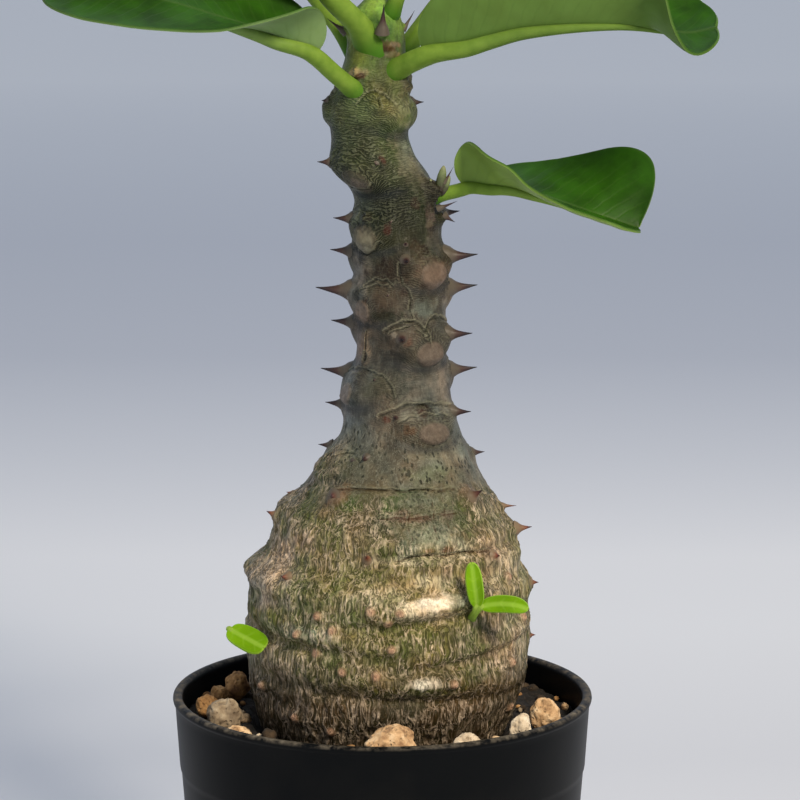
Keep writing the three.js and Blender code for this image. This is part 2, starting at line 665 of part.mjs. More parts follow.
// Each leaf: the rib from the stem to the tip, the stalk's share of it, the blade's half width,
// how much wider the tip end is, and the fold table [place, left half, right half].
const leaves = {
  leaf_left: {
    rib: [[-4.4, -4.6, 213], [-9.8, -8.5, 217.8], [-13.4, -10.6, 221.2], [-16.8, -12, 223.4],
      [-22.6, -13.6, 226], [-28.8, -15, 228.1], [-33.8, -16, 229.7], [-38.5, -17, 231.3],
      [-44.5, -18, 233], [-52.4, -19, 234.6], [-60.3, -20, 235.4], [-68.2, -21, 235.5]],
    stalk: 0.2,
    stalkRadius: 2.2,
    halfWidth: 14,
    halfStations: 3,
    tipWidth: 0.15,
    folds: [[0, 76, 60], [0.08, 60, 55], [0.19, 20, 50], [0.28, 8, 46], [0.4, -14, 40],
      [0.6, -28, 30], [0.8, -30, 24], [1, -28, 20]],
  },
  leaf_right: {
    rib: [[1.6, -4.2, 217.6], [6.8, -7.5, 220.4], [11.9, -9.6, 222.5], [17.4, -11.2, 224.5],
      [22.1, -12.4, 225.8], [27.7, -13.4, 227.1], [34.6, -14.6, 227.8], [41.6, -15.6, 228.1],
      [48.4, -16.4, 228], [53.1, -17, 227.5], [57.7, -17.6, 226.7], [62.3, -18.2, 226.3],
      [67.4, -19, 227.4]],
    stalk: 0.17,
    stalkRadius: 2.4,
    halfWidth: 14.5,
    halfStations: 3,
    tipWidth: 0.1,
    folds: [[0, 58, 80], [0.5, 50, 74], [0.74, 44, 62], [0.84, 40, 10], [0.92, 36, -40],
      [1, 30, -48]],
  },
  leaf_upper_left: {
    rib: [[-2.6, -4.4, 221.4], [-5.4, -6.8, 226.6], [-9.1, -8.6, 232], [-14, -10.4, 237.4],
      [-24, -13.2, 245], [-36, -16.4, 250.6], [-50, -19, 253], [-64, -22, 251]],
    stalk: 0.24,
    stalkRadius: 2.5,
    halfWidth: 15,
    tipWidth: 0.15,
    folds: [[0, 60, 60], [0.5, 30, 32], [1, 0, 5]],
  },
  leaf_back_left: {
    rib: [[-5, 4.2, 221], [-10, 8.6, 228], [-17, 14, 236], [-28, 22, 244.5], [-40, 30.5, 250],
      [-52, 39, 251.5], [-62, 46, 248.5]],
    stalk: 0.24,
    stalkRadius: 2.3,
    halfWidth: 15,
    tipWidth: 0.15,
    folds: [[0, 58, 58], [0.5, 28, 28], [1, 0, 0]],
  },
  leaf_back_right: {
    rib: [[3, 3.6, 219.4], [8, 7.2, 226], [15, 12.4, 234.4], [26, 20, 243], [38, 28, 248.6],
      [50, 36, 250.4], [60, 42.5, 248]],
    stalk: 0.24,
    stalkRadius: 2.3,
    halfWidth: 15,
    tipWidth: 0.15,
    folds: [[0, 58, 58], [0.5, 28, 28], [1, 0, 0]],
  },
  leaf_back: {
    rib: [[0.4, 5, 225], [1.8, 8.6, 233], [2.6, 15, 243], [2.4, 27, 254], [1.2, 42, 261],
      [0, 57, 262.5], [-1, 68, 260]],
    stalk: 0.22,
    stalkRadius: 2.2,
    halfWidth: 14,
    tipWidth: 0.15,
    folds: [[0, 58, 58], [0.5, 30, 30], [1, 2, 2]],
  },
  leaf_young_right: {
    rib: [[2, -2.6, 229.8], [5, -4.6, 237], [10, -7.4, 246], [18, -10.6, 256], [28, -14, 264],
      [38, -17, 268]],
    stalk: 0.2,
    stalkRadius: 1.7,
    halfWidth: 10.5,
    tipWidth: 0.1,
    folds: [[0, 66, 66], [0.5, 48, 48], [1, 20, 20]],
  },
  leaf_young_centre: {
    rib: [[-2, 0.8, 233.4], [-3.2, 1.6, 240], [-5.6, 2.6, 249], [-9, 4, 259], [-14, 6, 269],
      [-20, 8, 277]],
    stalk: 0.16,
    stalkRadius: 1.3,
    halfWidth: 7.5,
    tipWidth: 0,
    folds: [[0, 66, 66], [0.5, 58, 58], [1, 36, 36]],
  },
  leaf_side_shoot: {
    rib: [[12.2, -1, 191], [15.7, -1.6, 192.5], [18, -2.2, 193.4], [20.4, -2.8, 194],
      [24, -3.4, 194.4], [27.7, -4, 194.1], [31, -4.5, 193.4], [34.9, -5, 192.5],
      [41.2, -5.5, 190.7], [47.4, -6, 188.7], [51.9, -6.4, 187.1], [54.6, -6.6, 185.6]],
    stalk: 0.16,
    stalkRadius: 1.5,
    halfWidth: 13.2,
    halfStations: 3,
    squareness: 4,
    taper: 0.42,
    sweep: 0.85,
    curl: 18,
    tipWidth: 0.22,
    folds: [[0, 8, 88], [0.1, 8, 84], [0.2, 12, 38], [0.3, 18, 22], [0.4, 26, 10], [0.55, 40, 0],
      [0.7, 56, -6], [0.85, 70, -9], [1, 76, -10]],
  },
  sprout_left: {
    rib: [[-27.2, -8.2, 98.6], [-29.8, -9.4, 99.8], [-31.8, -10.8, 101], [-32.1, -12.4, 101.5],
      [-30.6, -13.9, 101], [-28.1, -15.6, 100.1], [-24.7, -17.7, 98.8]],
    stalk: 0.47,
    stalkRadius: 0.7,
    halfWidth: 2.8,
    taper: 0.45,
    stations: 6,
    stalkSteps: 5,
    facing: [0.1, -0.8, 0.6],
    tipWidth: 0.2,
    folds: [[0, 12, 12], [1, 8, 8]],
  },
};

// The right-hand sprout is one short stem with two leaves.
const rightSprout = [
  {
    rib: [[18.6, -23.2, 106.6], [19.2, -25.4, 108.2], [19.5, -26.8, 110.6], [19, -27.8, 114.6],
      [18.4, -28.4, 119.3]],
    stalk: 0.32,
    facing: [0, -1, 0.1],
    folds: [[0, 24, 24], [1, 14, 14]],
  },
  {
    rib: [[18.6, -23.2, 106.6], [19.2, -25.4, 108.2], [20.6, -26.8, 109.8], [24, -27.8, 110.6],
      [27.4, -28.4, 110.5], [29.9, -28.8, 109.8]],
    stalk: 0.34,
    facing: [0, -1, 0.3],
    folds: [[0, 14, 14], [1, 8, 8]],
  },
].map((leaf) => ({
  ...leaf,
  stalkRadius: 0.75,
  stalkSteps: 4,
  stalkSides: 5,
  halfWidth: 1.8,
  tipWidth: 0,
  stations: 5,
}));

// Materials

function material(color, roughness) {
  return new THREE.MeshStandardMaterial({ color, roughness, metalness: 0 });
}

const potPlastic = material('#17191c', 0.45);
const grainMineral = material('#8a7358', 0.95);
const barkSkin = material('#857b5c', 0.7);
const leafGreen = material('#3f7a24', 0.4);
const sproutGreen = material('#7fc31a', 0.4);

// Assembly

const plant = new THREE.Group();

function addPiece(name, solid, look) {
  const mesh = new THREE.Mesh(geometryOf(solid), look);
  mesh.name = name;
  plant.add(mesh);
}

addPiece('pot', potSolid(), potPlastic);
addPiece('soil', soilSolid(), grainMineral);
addPiece('trunk', trunkSolid(), barkSkin);

// A leaf ends a hair's breadth from the bark that it grows from.
const stemRoom = trunkBody(gap).add(sideShootSolid(gap));
const leafFrom = (leaf) => leafSolid({ ...usualLeaf, ...leaf });
for (const [name, leaf] of Object.entries(leaves)) {
  const look = name.startsWith('sprout') ? sproutGreen : leafGreen;
  addPiece(name, mainBody(leafFrom(leaf).subtract(stemRoom)), look);
}
addPiece('sprout_right', mainBody(joined(rightSprout.map(leafFrom)).subtract(stemRoom)),
  sproutGreen);

export default plant;
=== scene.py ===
# %% [markdown]
# # A potted Pachypodium windsorii
#
# The object is a young spiny caudex plant in a black nursery pot. Its construction comes from a
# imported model, the frame, which gives every piece its place and size. This file gives each piece
# its finish, and replaces the plain solids of grown things by finer meshes in the same place.
# Everything is in metres, and the pot's underside stands on the origin.

# %% Load the frame
import math

import bpy
import numpy as np
from mathutils import Matrix, Vector


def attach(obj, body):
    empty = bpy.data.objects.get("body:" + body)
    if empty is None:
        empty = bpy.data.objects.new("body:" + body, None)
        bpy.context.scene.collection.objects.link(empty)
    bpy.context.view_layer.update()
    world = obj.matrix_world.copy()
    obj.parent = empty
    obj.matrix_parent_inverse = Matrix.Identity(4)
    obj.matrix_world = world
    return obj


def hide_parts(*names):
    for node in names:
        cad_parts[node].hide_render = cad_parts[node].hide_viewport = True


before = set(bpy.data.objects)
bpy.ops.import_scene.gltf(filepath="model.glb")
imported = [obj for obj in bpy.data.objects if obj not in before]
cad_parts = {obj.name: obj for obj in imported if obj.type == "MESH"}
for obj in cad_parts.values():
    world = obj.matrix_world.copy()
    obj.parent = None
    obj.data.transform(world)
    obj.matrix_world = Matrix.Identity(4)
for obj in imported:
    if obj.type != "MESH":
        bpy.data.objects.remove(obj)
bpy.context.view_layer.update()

bpy.ops.object.select_all(action="DESELECT")
print("frame:", sorted(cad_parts))

# %% [markdown]
# Sizes on a plant are easiest to think of in millimetres, so every table below is in millimetres
# and is turned to metres where a mesh is made. A random generator with a fixed seed makes each
# run give the same plant.

# %% Units and chance
MM = 0.001
POT_HEIGHT = 85.0
SOIL_LEVEL = 80.0
CREASE_HEIGHT = 132.2          # where the caudex's bark meets the stem's smoother skin

chance = np.random.default_rng(20417)


def smoothstep(low, high, value):
    share = np.clip((value - low) / (high - low), 0, 1)
    return share * share * (3 - 2 * share)


def bell(distance, width):
    return np.exp(-(distance / width) ** 2)


def turn_between(a, b):
    """Degrees from direction b to direction a, between -180 and 180."""
    return (a - b + 180) % 360 - 180


# %% [markdown]
# ## Camera
#
# The view is that of a short telephoto lens a little above the plant, looking slightly down. The
# width and roundness of the pot's rim in the picture fix the lens, the height and the tilt.

# %% Camera
LENS = 135.22
CAMERA_PLACE = (0.003768, -0.627841, 0.253230)
CAMERA_TILT = 80.512

bpy.ops.object.camera_add(location=CAMERA_PLACE, rotation=(math.radians(CAMERA_TILT), 0, 0))
camera = bpy.context.object
camera.name = "camera"
camera.data.sensor_width = 36
camera.data.lens = LENS
bpy.context.scene.camera = camera
print("camera: lens", LENS, "mm")

# %% [markdown]
# ## Materials
#
# A material is a tree of nodes that ends in the Principled shader. One function adds any node:
# it sets the node's options, and fills or links its inputs. Colours are written as the hex values
# that a paint program shows, and one function turns them to the linear light that Blender uses.
# A noise's scale is in cells per metre: at 700 its spots are about 1.4 mm across.

# %% Nodes and materials
def linear(hex_colour):
    """An sRGB hex colour as the linear RGBA that sockets take."""
    parts = [int(hex_colour[i:i + 2], 16) / 255 for i in (1, 3, 5)]
    return (*[c / 12.92 if c <= 0.04045 else ((c + 0.055) / 1.055) ** 2.4 for c in parts], 1.0)


def fill_inputs(node, inputs):
    """Fills a node's inputs, which are named in a dictionary or listed from the first one on.

    Each is a number, a vector, a hex colour, an output, or a node, whose first output is linked.
    """
    for name, value in inputs.items() if isinstance(inputs, dict) else enumerate(inputs):
        if isinstance(value, bpy.types.Node):
            value = next(output for output in value.outputs if output.enabled)
        if isinstance(value, bpy.types.NodeSocket):
            node.id_data.links.new(value, node.inputs[name])
        else:
            node.inputs[name].default_value = linear(value) if isinstance(value, str) else value


def add_node(tree, kind, inputs=(), stops=(), **settings):
    """Adds a shader node, sets its options and a ramp's colour stops, and fills its inputs."""
    made = tree.nodes.new("ShaderNode" + kind)
    for name, value in settings.items():
        setattr(made, name, value)
    while stops and len(made.color_ramp.elements) < len(stops):
        made.color_ramp.elements.new(0.5)
    for i, (position, hex_colour) in enumerate(stops):
        made.color_ramp.elements[i].position = position
        made.color_ramp.elements[i].color = linear(hex_colour)
    fill_inputs(made, inputs)
    return made


def new_material(name, **shader_values):
    """A material with one Principled shader, whose plain sockets are set here."""
    made = bpy.data.materials.new(name)
    made.use_nodes = True
    shader_node = made.node_tree.nodes["Principled BSDF"]
    fill_inputs(shader_node, {socket.replace("_", " "): value
                              for socket, value in shader_values.items()})
    return made, made.node_tree, shader_node


print("materials: one function adds every node")

# %% [markdown]
# ## Floor and light
#
# The stage is a pale floor that reaches past the horizon, and a pale sky of the same hue. Matt
# wall paint has no gloss to speak of, so the floor only carries the soft shadow. Its colour is
# painted lighter and darker with its distance, as painted light and shade of daylight through clouds.

# %% Floor
FLOOR_SIZE = 60
FLOOR_DEPTH = 4.0              # how far back the tones below reach, in metres
# Painted light and shade on the floor, lighter and darker with its depth.
FLOOR_LIGHT_AND_SHADE = [(0.06, "#d8dbe1"), (0.1, "#eef0f3"), (0.13, "#f6f7f9"), (0.18, "#eaecf0"),
               (0.26, "#dadde4"), (0.4, "#dde0e7"), (0.58, "#eceef2"), (0.9, "#ffffff")]
floor_paint, tree, shader = new_material("matt_floor_paint", Roughness=0.9)
place = add_node(tree, "TexCoord").outputs["Object"]
depth = add_node(tree, "SeparateXYZ", [place]).outputs["Y"]
depth_share = add_node(tree, "MapRange", [depth, 0, FLOOR_DEPTH])
fill_inputs(shader, {"Base Color": add_node(tree, "ValToRGB", [depth_share], FLOOR_LIGHT_AND_SHADE)})
bpy.ops.mesh.primitive_plane_add(size=FLOOR_SIZE)
floor = bpy.context.object
floor.name = "floor"
floor.data.materials.append(floor_paint)
print("floor:", FLOOR_SIZE, "m each way")

# %% [markdown]
# The room is dimmer on the viewer's side, which keeps the black pot black. A medium-sized lamp
# high at the right is the key, which draws the glints on the caudex's ridges, and a broad, weak
# lamp at the left opens the shadows.

# %% Sky and lamps
world = bpy.data.worlds.new("pale_sky")
world.use_nodes = True
sky = world.node_tree
direction = add_node(sky, "TexCoord").outputs["Generated"]
from_front = add_node(sky, "SeparateXYZ", [direction]).outputs["Y"]
brightness = add_node(sky, "MapRange", [from_front, -0.8, 0.5, 0.2, 1.05],
                      interpolation_type="SMOOTHSTEP")
fill_inputs(sky.nodes["Background"], {"Color": "#c2cad8", "Strength": brightness})
bpy.context.scene.world = world
bpy.context.scene.view_settings.view_transform = "Standard"


def area_light(name, place, size, power, hex_colour):
    """A square lamp that is aimed at the middle of the object."""
    bpy.ops.object.light_add(type="AREA", location=place)
    lamp = bpy.context.object
    lamp.name = name
    lamp.data.size = size
    lamp.data.energy = power
    lamp.data.color = linear(hex_colour)[:3]
    aim = Vector((0, 0, 0.12)) - Vector(place)
    lamp.rotation_euler = aim.to_track_quat("-Z", "Y").to_euler()


area_light("key", (0.42, -0.72, 0.78), 0.25, 13.0, "#fff1dc")
area_light("fill", (-0.9, -0.9, 0.5), 1.2, 4.2, "#e6ebf4")
print("stage: floor, sky and two lamps")

# %% [markdown]
# ## Helpers for grown shapes
#
# A grown skin has no straight edges to model by extruding. Each one starts as Blender's grid
# primitive, whose points are then moved by a formula, as a sculptor would push them. A grid that
# is rolled round an axis has its two side edges welded, and its ends drawn in to a point, so that
# the skin is closed.

# %% Noise and tables
def lattice_hash(ix, iy, iz, seed):
    """A repeatable number from 0 to 1 for each whole-number place."""
    mixed = ix * 374761393 + iy * 668265263 + iz * 2147483647 + seed * 974634777
    mixed = (mixed ^ (mixed >> 13)) * 1274126177
    mixed = mixed ^ (mixed >> 16)
    return (mixed & 0xFFFFFF) / 0xFFFFFF


def noise(points, cell, seed):
    """Smooth noise from -1 to 1 at points (N, 3) in millimetres. cell is its size each way."""
    place = np.asarray(points) / np.asarray(cell, float)
    whole = np.floor(place).astype(np.int64)
    part = place - whole
    part = part * part * (3 - 2 * part)
    total = np.zeros(len(place))
    for dx in (0, 1):
        for dy in (0, 1):
            for dz in (0, 1):
                weight = np.abs(1 - dx - part[:, 0]) * np.abs(1 - dy - part[:, 1])
                weight = weight * np.abs(1 - dz - part[:, 2])
                corner = lattice_hash(whole[:, 0] + dx, whole[:, 1] + dy, whole[:, 2] + dz, seed)
                total += weight * corner
    return 2 * total - 1


def read_table(table, position, column):
    """A smooth curve through rows [position, value, ...], read at many positions at once."""
    rows = np.asarray(table, float)
    last = len(rows) - 1
    place = np.clip(position, rows[0, 0], rows[last, 0])
    i = np.clip(np.searchsorted(rows[1:, 0], place, side="left"), 0, last - 1)
    before = np.maximum(np.arange(last + 1) - 1, 0)
    after = np.minimum(np.arange(last + 1) + 1, last)
    slope = (rows[after, column] - rows[before, column]) / (rows[after, 0] - rows[before, 0])
    span = rows[i + 1, 0] - rows[i, 0]
    t = (place - rows[i, 0]) / span
    return ((1 + 2 * t) * (1 - t) ** 2 * rows[i, column] + t * (1 - t) ** 2 * span * slope[i]
            + t * t * (3 - 2 * t) * rows[i + 1, column]
            + t * t * (t - 1) * span * slope[i + 1])


# %% [markdown]
# A grid's points carry the masks that its material reads, as attributes. Every finished piece
# gets its material, its body and the nodes that it stands for.

# %% Grids, joins and finished pieces
def grid_object(name, points, features=None, uv=None):
    """A grid primitive whose points (rows, columns, 3) are moved into place, in metres."""
    rows, columns = points.shape[:2]
    bpy.ops.mesh.primitive_grid_add(x_subdivisions=columns - 1, y_subdivisions=rows - 1)
    made = bpy.context.object
    made.name = name
    made.data.name = name
    made.data.vertices.foreach_set("co", points.reshape(-1).astype(np.float32))
    for feature, values in (features or {}).items():
        attribute = made.data.attributes.new(feature, "FLOAT", "POINT")
        attribute.data.foreach_set("value", values.reshape(-1).astype(np.float32))
    if uv is not None:
        corners = np.zeros(len(made.data.loops), np.int32)
        made.data.loops.foreach_get("vertex_index", corners)
        layer = made.data.uv_layers.active or made.data.uv_layers.new(name="UVMap")
        layer.data.foreach_set("uv", uv.reshape(-1, 2)[corners].reshape(-1).astype(np.float32))
    made.data.update()
    return made


def rolled_skin(name, points, features=None):
    """Closes a grid that runs round an axis. Its first and last rows are each one point."""
    wrapped = np.concatenate([points, points[:, :1]], axis=1)
    wrapped_features = {
        feature: np.concatenate([values, values[:, :1]], axis=1)
        for feature, values in (features or {}).items()
    }
    made = grid_object(name, wrapped, wrapped_features)
    bpy.ops.object.mode_set(mode="EDIT")
    bpy.ops.mesh.select_all(action="SELECT")
    bpy.ops.mesh.remove_doubles(threshold=1e-7)
    bpy.ops.mesh.normals_make_consistent(inside=False)
    bpy.ops.object.mode_set(mode="OBJECT")
    bpy.ops.object.shade_smooth_by_angle(angle=math.radians(70))
    bpy.ops.object.select_all(action="DESELECT")
    return made


def join(parts, name):
    bpy.ops.object.select_all(action="DESELECT")
    for part in parts:
        part.select_set(True)
    bpy.context.view_layer.objects.active = parts[0]
    bpy.ops.object.join()
    made = bpy.context.object
    made.name = name
    made.data.name = name
    bpy.ops.object.select_all(action="DESELECT")
    return made


def finish_piece(piece, finish, slot, *nodes):
    """Gives a piece its material and its place in the frame, and says what it stands for."""
    piece.data.materials.clear()
    piece.data.materials.append(finish)
    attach(piece, "root")
    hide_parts(*nodes)
    piece.data.calc_loop_triangles()
    print(f"{piece.name}: {len(piece.data.loop_triangles)} triangles, for {', '.join(nodes)}")


# %% [markdown]
# ## Pot
#
# The real pot is one thin injection moulding of black polypropylene. It is modelled as it would
# be turned: a ring of points is extruded and resized up the outside, over the lip and down the
# inside, and the two ends are then filled. The drain holes are cut through the floor.

# %% Pot shape
POT_SIDES = 192
POT_RIM = 45.0
POT_FOOT = 38.2
POT_COLLAR_FOOT = 69.0
POT_WALL = 1.4
COLLAR_TOP = 44.55
COLLAR_BOTTOM = 43.6
BODY_TOP = 43.35
DRAIN_COUNT = 6
DRAIN_RADIUS = 3.5
DRAIN_RING = 23.0

inner_slope = (BODY_TOP - POT_FOOT) / POT_COLLAR_FOOT


def pot_inside(height):
    return min(POT_FOOT - POT_WALL + inner_slope * height, COLLAR_TOP - POT_WALL - 0.2)


pot_profile = [
    (POT_FOOT - 0.8, 0.0),
    (POT_FOOT - 0.2, 0.2),
    (POT_FOOT, 0.8),
    (POT_FOOT + inner_slope * 30, 30.0),
    (BODY_TOP - 0.1, POT_COLLAR_FOOT - 1.4),
    (BODY_TOP, POT_COLLAR_FOOT - 0.5),
    (COLLAR_BOTTOM - 0.05, POT_COLLAR_FOOT),
    (COLLAR_BOTTOM + 0.05, POT_COLLAR_FOOT + 0.6),
    (COLLAR_TOP - 0.1, 82.0),
    (COLLAR_TOP, 83.2),
    (COLLAR_TOP + 0.12, 83.5),
    (POT_RIM - 0.08, 83.75),
    (POT_RIM, 84.1),
    (POT_RIM - 0.06, 84.5),
    (POT_RIM - 0.25, 84.8),
    (POT_RIM - 0.55, 84.96),
    (POT_RIM - 1.0, POT_HEIGHT),
    (POT_RIM - 1.5, 84.93),
    (POT_RIM - 1.85, 84.72),
    (POT_RIM - 2.05, 84.35),
    (POT_RIM - 2.15, 83.6),
    (pot_inside(82.8), 82.8),
    (pot_inside(60), 60.0),
    (pot_inside(30), 30.0),
    (pot_inside(3), 3.0),
    (pot_inside(2) - 1, 2.0),
]

bpy.ops.mesh.primitive_circle_add(vertices=POT_SIDES, radius=pot_profile[0][0] * MM)
pot = bpy.context.object
pot.name = "pot_moulding"
bpy.ops.object.mode_set(mode="EDIT")
bpy.ops.mesh.select_all(action="SELECT")
bpy.ops.mesh.edge_face_add()
bpy.ops.mesh.select_all(action="DESELECT")
bpy.ops.mesh.select_mode(type="EDGE")
bpy.ops.mesh.select_all(action="SELECT")
for (radius, height), (next_radius, next_height) in zip(pot_profile, pot_profile[1:]):
    bpy.ops.mesh.extrude_edges_move(
        TRANSFORM_OT_translate={"value": (0, 0, (next_height - height) * MM)})
    scale = next_radius / radius
    bpy.ops.transform.resize(value=(scale, scale, 1), center_override=(0, 0, 0))
bpy.ops.mesh.edge_face_add()
bpy.ops.mesh.select_all(action="SELECT")
bpy.ops.mesh.normals_make_consistent(inside=False)
bpy.ops.object.mode_set(mode="OBJECT")

drains = []
for i in range(DRAIN_COUNT):
    around = 2 * math.pi * i / DRAIN_COUNT
    bpy.ops.mesh.primitive_cylinder_add(
        vertices=48, radius=DRAIN_RADIUS * MM, depth=6 * MM,
        location=(DRAIN_RING * MM * math.cos(around), DRAIN_RING * MM * math.sin(around), MM))
    drains.append(bpy.context.object)
drill = join(drains, "drain_drill")
cut = pot.modifiers.new("drains", "BOOLEAN")
cut.operation = "DIFFERENCE"
cut.solver = "EXACT"
cut.object = drill
bpy.context.view_layer.objects.active = pot
bpy.ops.object.modifier_apply(modifier=cut.name)
bpy.data.objects.remove(drill)
pot.select_set(True)
bpy.ops.object.shade_smooth_by_angle(angle=math.radians(35))
bpy.ops.object.select_all(action="DESELECT")
print("pot:", len(pot.data.vertices), "points")

# %% [markdown]
# Polypropylene straight from the mould is satin: the tool's spark-eroded skin leaves a grain of a
# tenth of a millimetre, drawn a little coarser here so that it shows. Handling and watering
# leave pale dust and scuffs where the lip is touched most, and the pale lip is in part a painted
# highlight along its top.

# %% Moulded black polypropylene
# The lip's pale band is dust and a painted highlight.
LIP_DUST_AND_HIGHLIGHT_FROM = 84.2 * MM      # dust begins to lie here, and lies fully at the lip's top
LIP_DUST_AND_HIGHLIGHT_FULL = 84.95 * MM
pot_plastic, tree, shader = new_material("moulded_black_polypropylene", IOR=1.49,
                                         Specular_IOR_Level=0.08)
place = add_node(tree, "TexCoord").outputs["Object"]
height = add_node(tree, "SeparateXYZ", [place]).outputs["Z"]
specks = add_node(tree, "TexNoise", {"Vector": place, "Scale": 420.0, "Detail": 6.0,
                                     "Roughness": 0.7})
smear = add_node(tree, "TexNoise", {"Vector": place, "Scale": 60.0, "Detail": 3.0})
on_lip = add_node(tree, "MapRange", [height, LIP_DUST_AND_HIGHLIGHT_FROM, LIP_DUST_AND_HIGHLIGHT_FULL])
specks = add_node(tree, "MapRange", [specks, 0.42, 0.72])
# Dust and a painted highlight on the lip.
lip_dust_and_highlight = add_node(tree, "Math", [on_lip, specks], operation="MULTIPLY")
lip_dust_and_highlight = add_node(tree, "Math", [lip_dust_and_highlight, 0.7], operation="MULTIPLY")
smear = add_node(tree, "MapRange", [smear, 0.45, 0.8, 0, 0.012])
dust_and_lip_highlight = add_node(tree, "Math", [lip_dust_and_highlight, smear], operation="ADD")
plastic = add_node(tree, "Mix", {"Factor": dust_and_lip_highlight, "A": "#050709", "B": "#8d8373"}, data_type="RGBA")
rough = add_node(tree, "MapRange", [dust_and_lip_highlight, 0, 1, 0.42, 0.85])
mould_grain = add_node(tree, "TexNoise", {"Vector": place, "Scale": 2600.0, "Detail": 2.0})
skin = add_node(tree, "Bump", {"Height": mould_grain, "Strength": 0.25, "Distance": 0.05 * MM})
fill_inputs(shader, {"Base Color": plastic, "Roughness": rough, "Normal": skin})
finish_piece(pot, pot_plastic, "pot_plastic", "pot")

# %% [markdown]
# ## Trunk: caudex and stem
#
# The trunk is one grown piece. A table gives the outline, and lists of ridges, leaf scars, spines
# and worn knobs give the relief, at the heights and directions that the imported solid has. The
# skin is finer than that solid: it adds the scars' rims, the folds over each pair of spines and
# the wrinkles. The crease at the caudex's shoulder is the natural place to divide the skin in two
# pieces, so that each can have small enough faces.
#
# Directions are in degrees: 0 is the right-hand side of the picture, and -90 faces the viewer.

# %% Trunk outline, ridges and marks
TRUNK_OUTLINE = [
    (38, 0, 6.5), (46, 0, 9), (54, 0, 13), (62, 0.1, 18), (70, 0.2, 22.6), (76, 0.3, 25.6),
    (82, 0.7, 27.8), (88, 1, 29.3), (94, 1, 30), (100, 0.9, 30), (105, 1.2, 29.7),
    (109.5, 1.6, 29.8), (113, 0.9, 28.6), (117, 1.9, 26.6), (120.5, 2.2, 25.6),
    (126, 1.6, 22.7), (129, 2.6, 20), (131.5, 3, 18.5), (134.5, 3.1, 16.8), (140, 3.9, 13.4),
    (144, 3.8, 12), (149, 3.3, 11.2), (156, 4, 9.6), (161, 4, 9.3), (168, 4, 9.3),
    (176, 3.8, 9.4), (182, 3.4, 9), (187, 3.6, 9), (192, 2.6, 8.7), (196, 0.5, 9.2),
    (200, -1.7, 8.7), (204, -2.5, 8), (208.5, -2.6, 8.5), (213, -2.6, 7.7), (220, -1.3, 6.4),
    (226, -1.2, 5.8), (230, -1.2, 4.6), (232.5, -1.2, 2.4),
]
TRUNK_TOP = TRUNK_OUTLINE[-1][0]

# Ridges and creases: height, direction, half height, half width in degrees, how far the bark
# stands out, and the climb in a quarter turn.
RIDGES = [
    (132.2, -75, 1, 55, -0.5, 0), (130, -140, 1.8, 45, 0.8, 1), (126.8, 5, 2.2, 40, 0.9, -2),
    (126.3, 178, 2, 40, 1, 1), (122.5, -85, 2.4, 40, 0.6, 1), (119.6, -62, 1, 60, -0.8, 0),
    (117, -35, 1.9, 45, 0.7, -2), (116.6, -115, 2, 30, -0.5, 2), (112.4, -172, 2, 50, 1.2, -2),
    (110.4, -66, 2.2, 34, 1.3, 7), (106.6, -75, 1.4, 55, -1, 4), (103.6, -122, 2.2, 42, 0.9, -4),
    (100.6, -138, 1.3, 40, -1, -3), (101, -28, 2, 36, 0.8, 3), (97.6, -58, 1.2, 40, -0.7, 4),
    (93.8, -76, 2, 44, 1, -3), (90, -82, 1.2, 60, -0.7, -3), (85, -112, 2, 50, 0.5, 2),
    (122, 95, 1.6, 60, -0.7, 2), (115, 70, 2.2, 50, 1, -3), (108, 115, 1.4, 55, -0.9, 4),
    (103, 60, 2.2, 50, 0.9, 4), (97, 120, 1.3, 60, -0.8, -3), (91, 80, 2, 60, 0.8, 3),
    (150.5, -95, 2.6, 22, -0.35, 0), (157.4, -100, 2.2, 24, -0.45, 0),
    (167.2, -106, 1.5, 18, -0.5, 0), (163.4, -97, 2.2, 13, 0.7, 0), (199, -120, 5, 36, 0.4, 0),
]

# Leaf scars: height, direction, radius, how wide for its height, how plain to see, and the
# lengths of the two spines above.
SCARS = [
    (134.5, -154, 2.4, 1.0, 0.1, (3.4, 2.6)), (133, 44, 2.4, 1.0, 0.8, (3.4, 3.2)),
    (143, -57, 2.3, 1.55, 1.0, (2.2, 5)), (143.6, 134, 2.5, 1.2, 0.8, (5.4, 4.6)),
    (150.4, -157, 2.3, 1.0, 0.8, (7.6, 1.2)), (151, 44, 2.4, 1.0, 0.8, (6.8, 6.8)),
    (159.3, -53, 2.75, 1.12, 1.0, (4.4, 6.6)), (161.2, 136, 2.4, 1.0, 0.8, (5.6, 6)),
    (168.2, -142, 2.3, 0.9, 0.7, (8.8, 1.2)), (168.6, 43, 2.5, 1.0, 0.8, (7.2, 7)),
    (175.6, -46, 3.1, 1.05, 0.8, (3.6, 7.8)), (176.4, 140, 2.4, 1.0, 0.8, (5.4, 5.6)),
    (183.4, -137, 3.1, 1.0, 0.4, (5.2, 1.4)), (184, 62, 2.5, 1.0, 0.8, (5.6, 6.4)),
    (195.4, -126, 2.5, 1.2, 0.35, (4.2, 1.4)), (197.5, 92, 2.4, 1.0, 0.7, (4.6, 4.4)),
    (207.6, -37, 2.6, 1.0, 0.0, (0.0, 3.6)), (208, 150, 2.2, 1.0, 0.6, (3.8, 2.2)),
]
SPINE_RISE = 3.6               # a leaf's two spines stand above its scar
SPINE_SPREAD = 36              # and this many degrees to each side of it

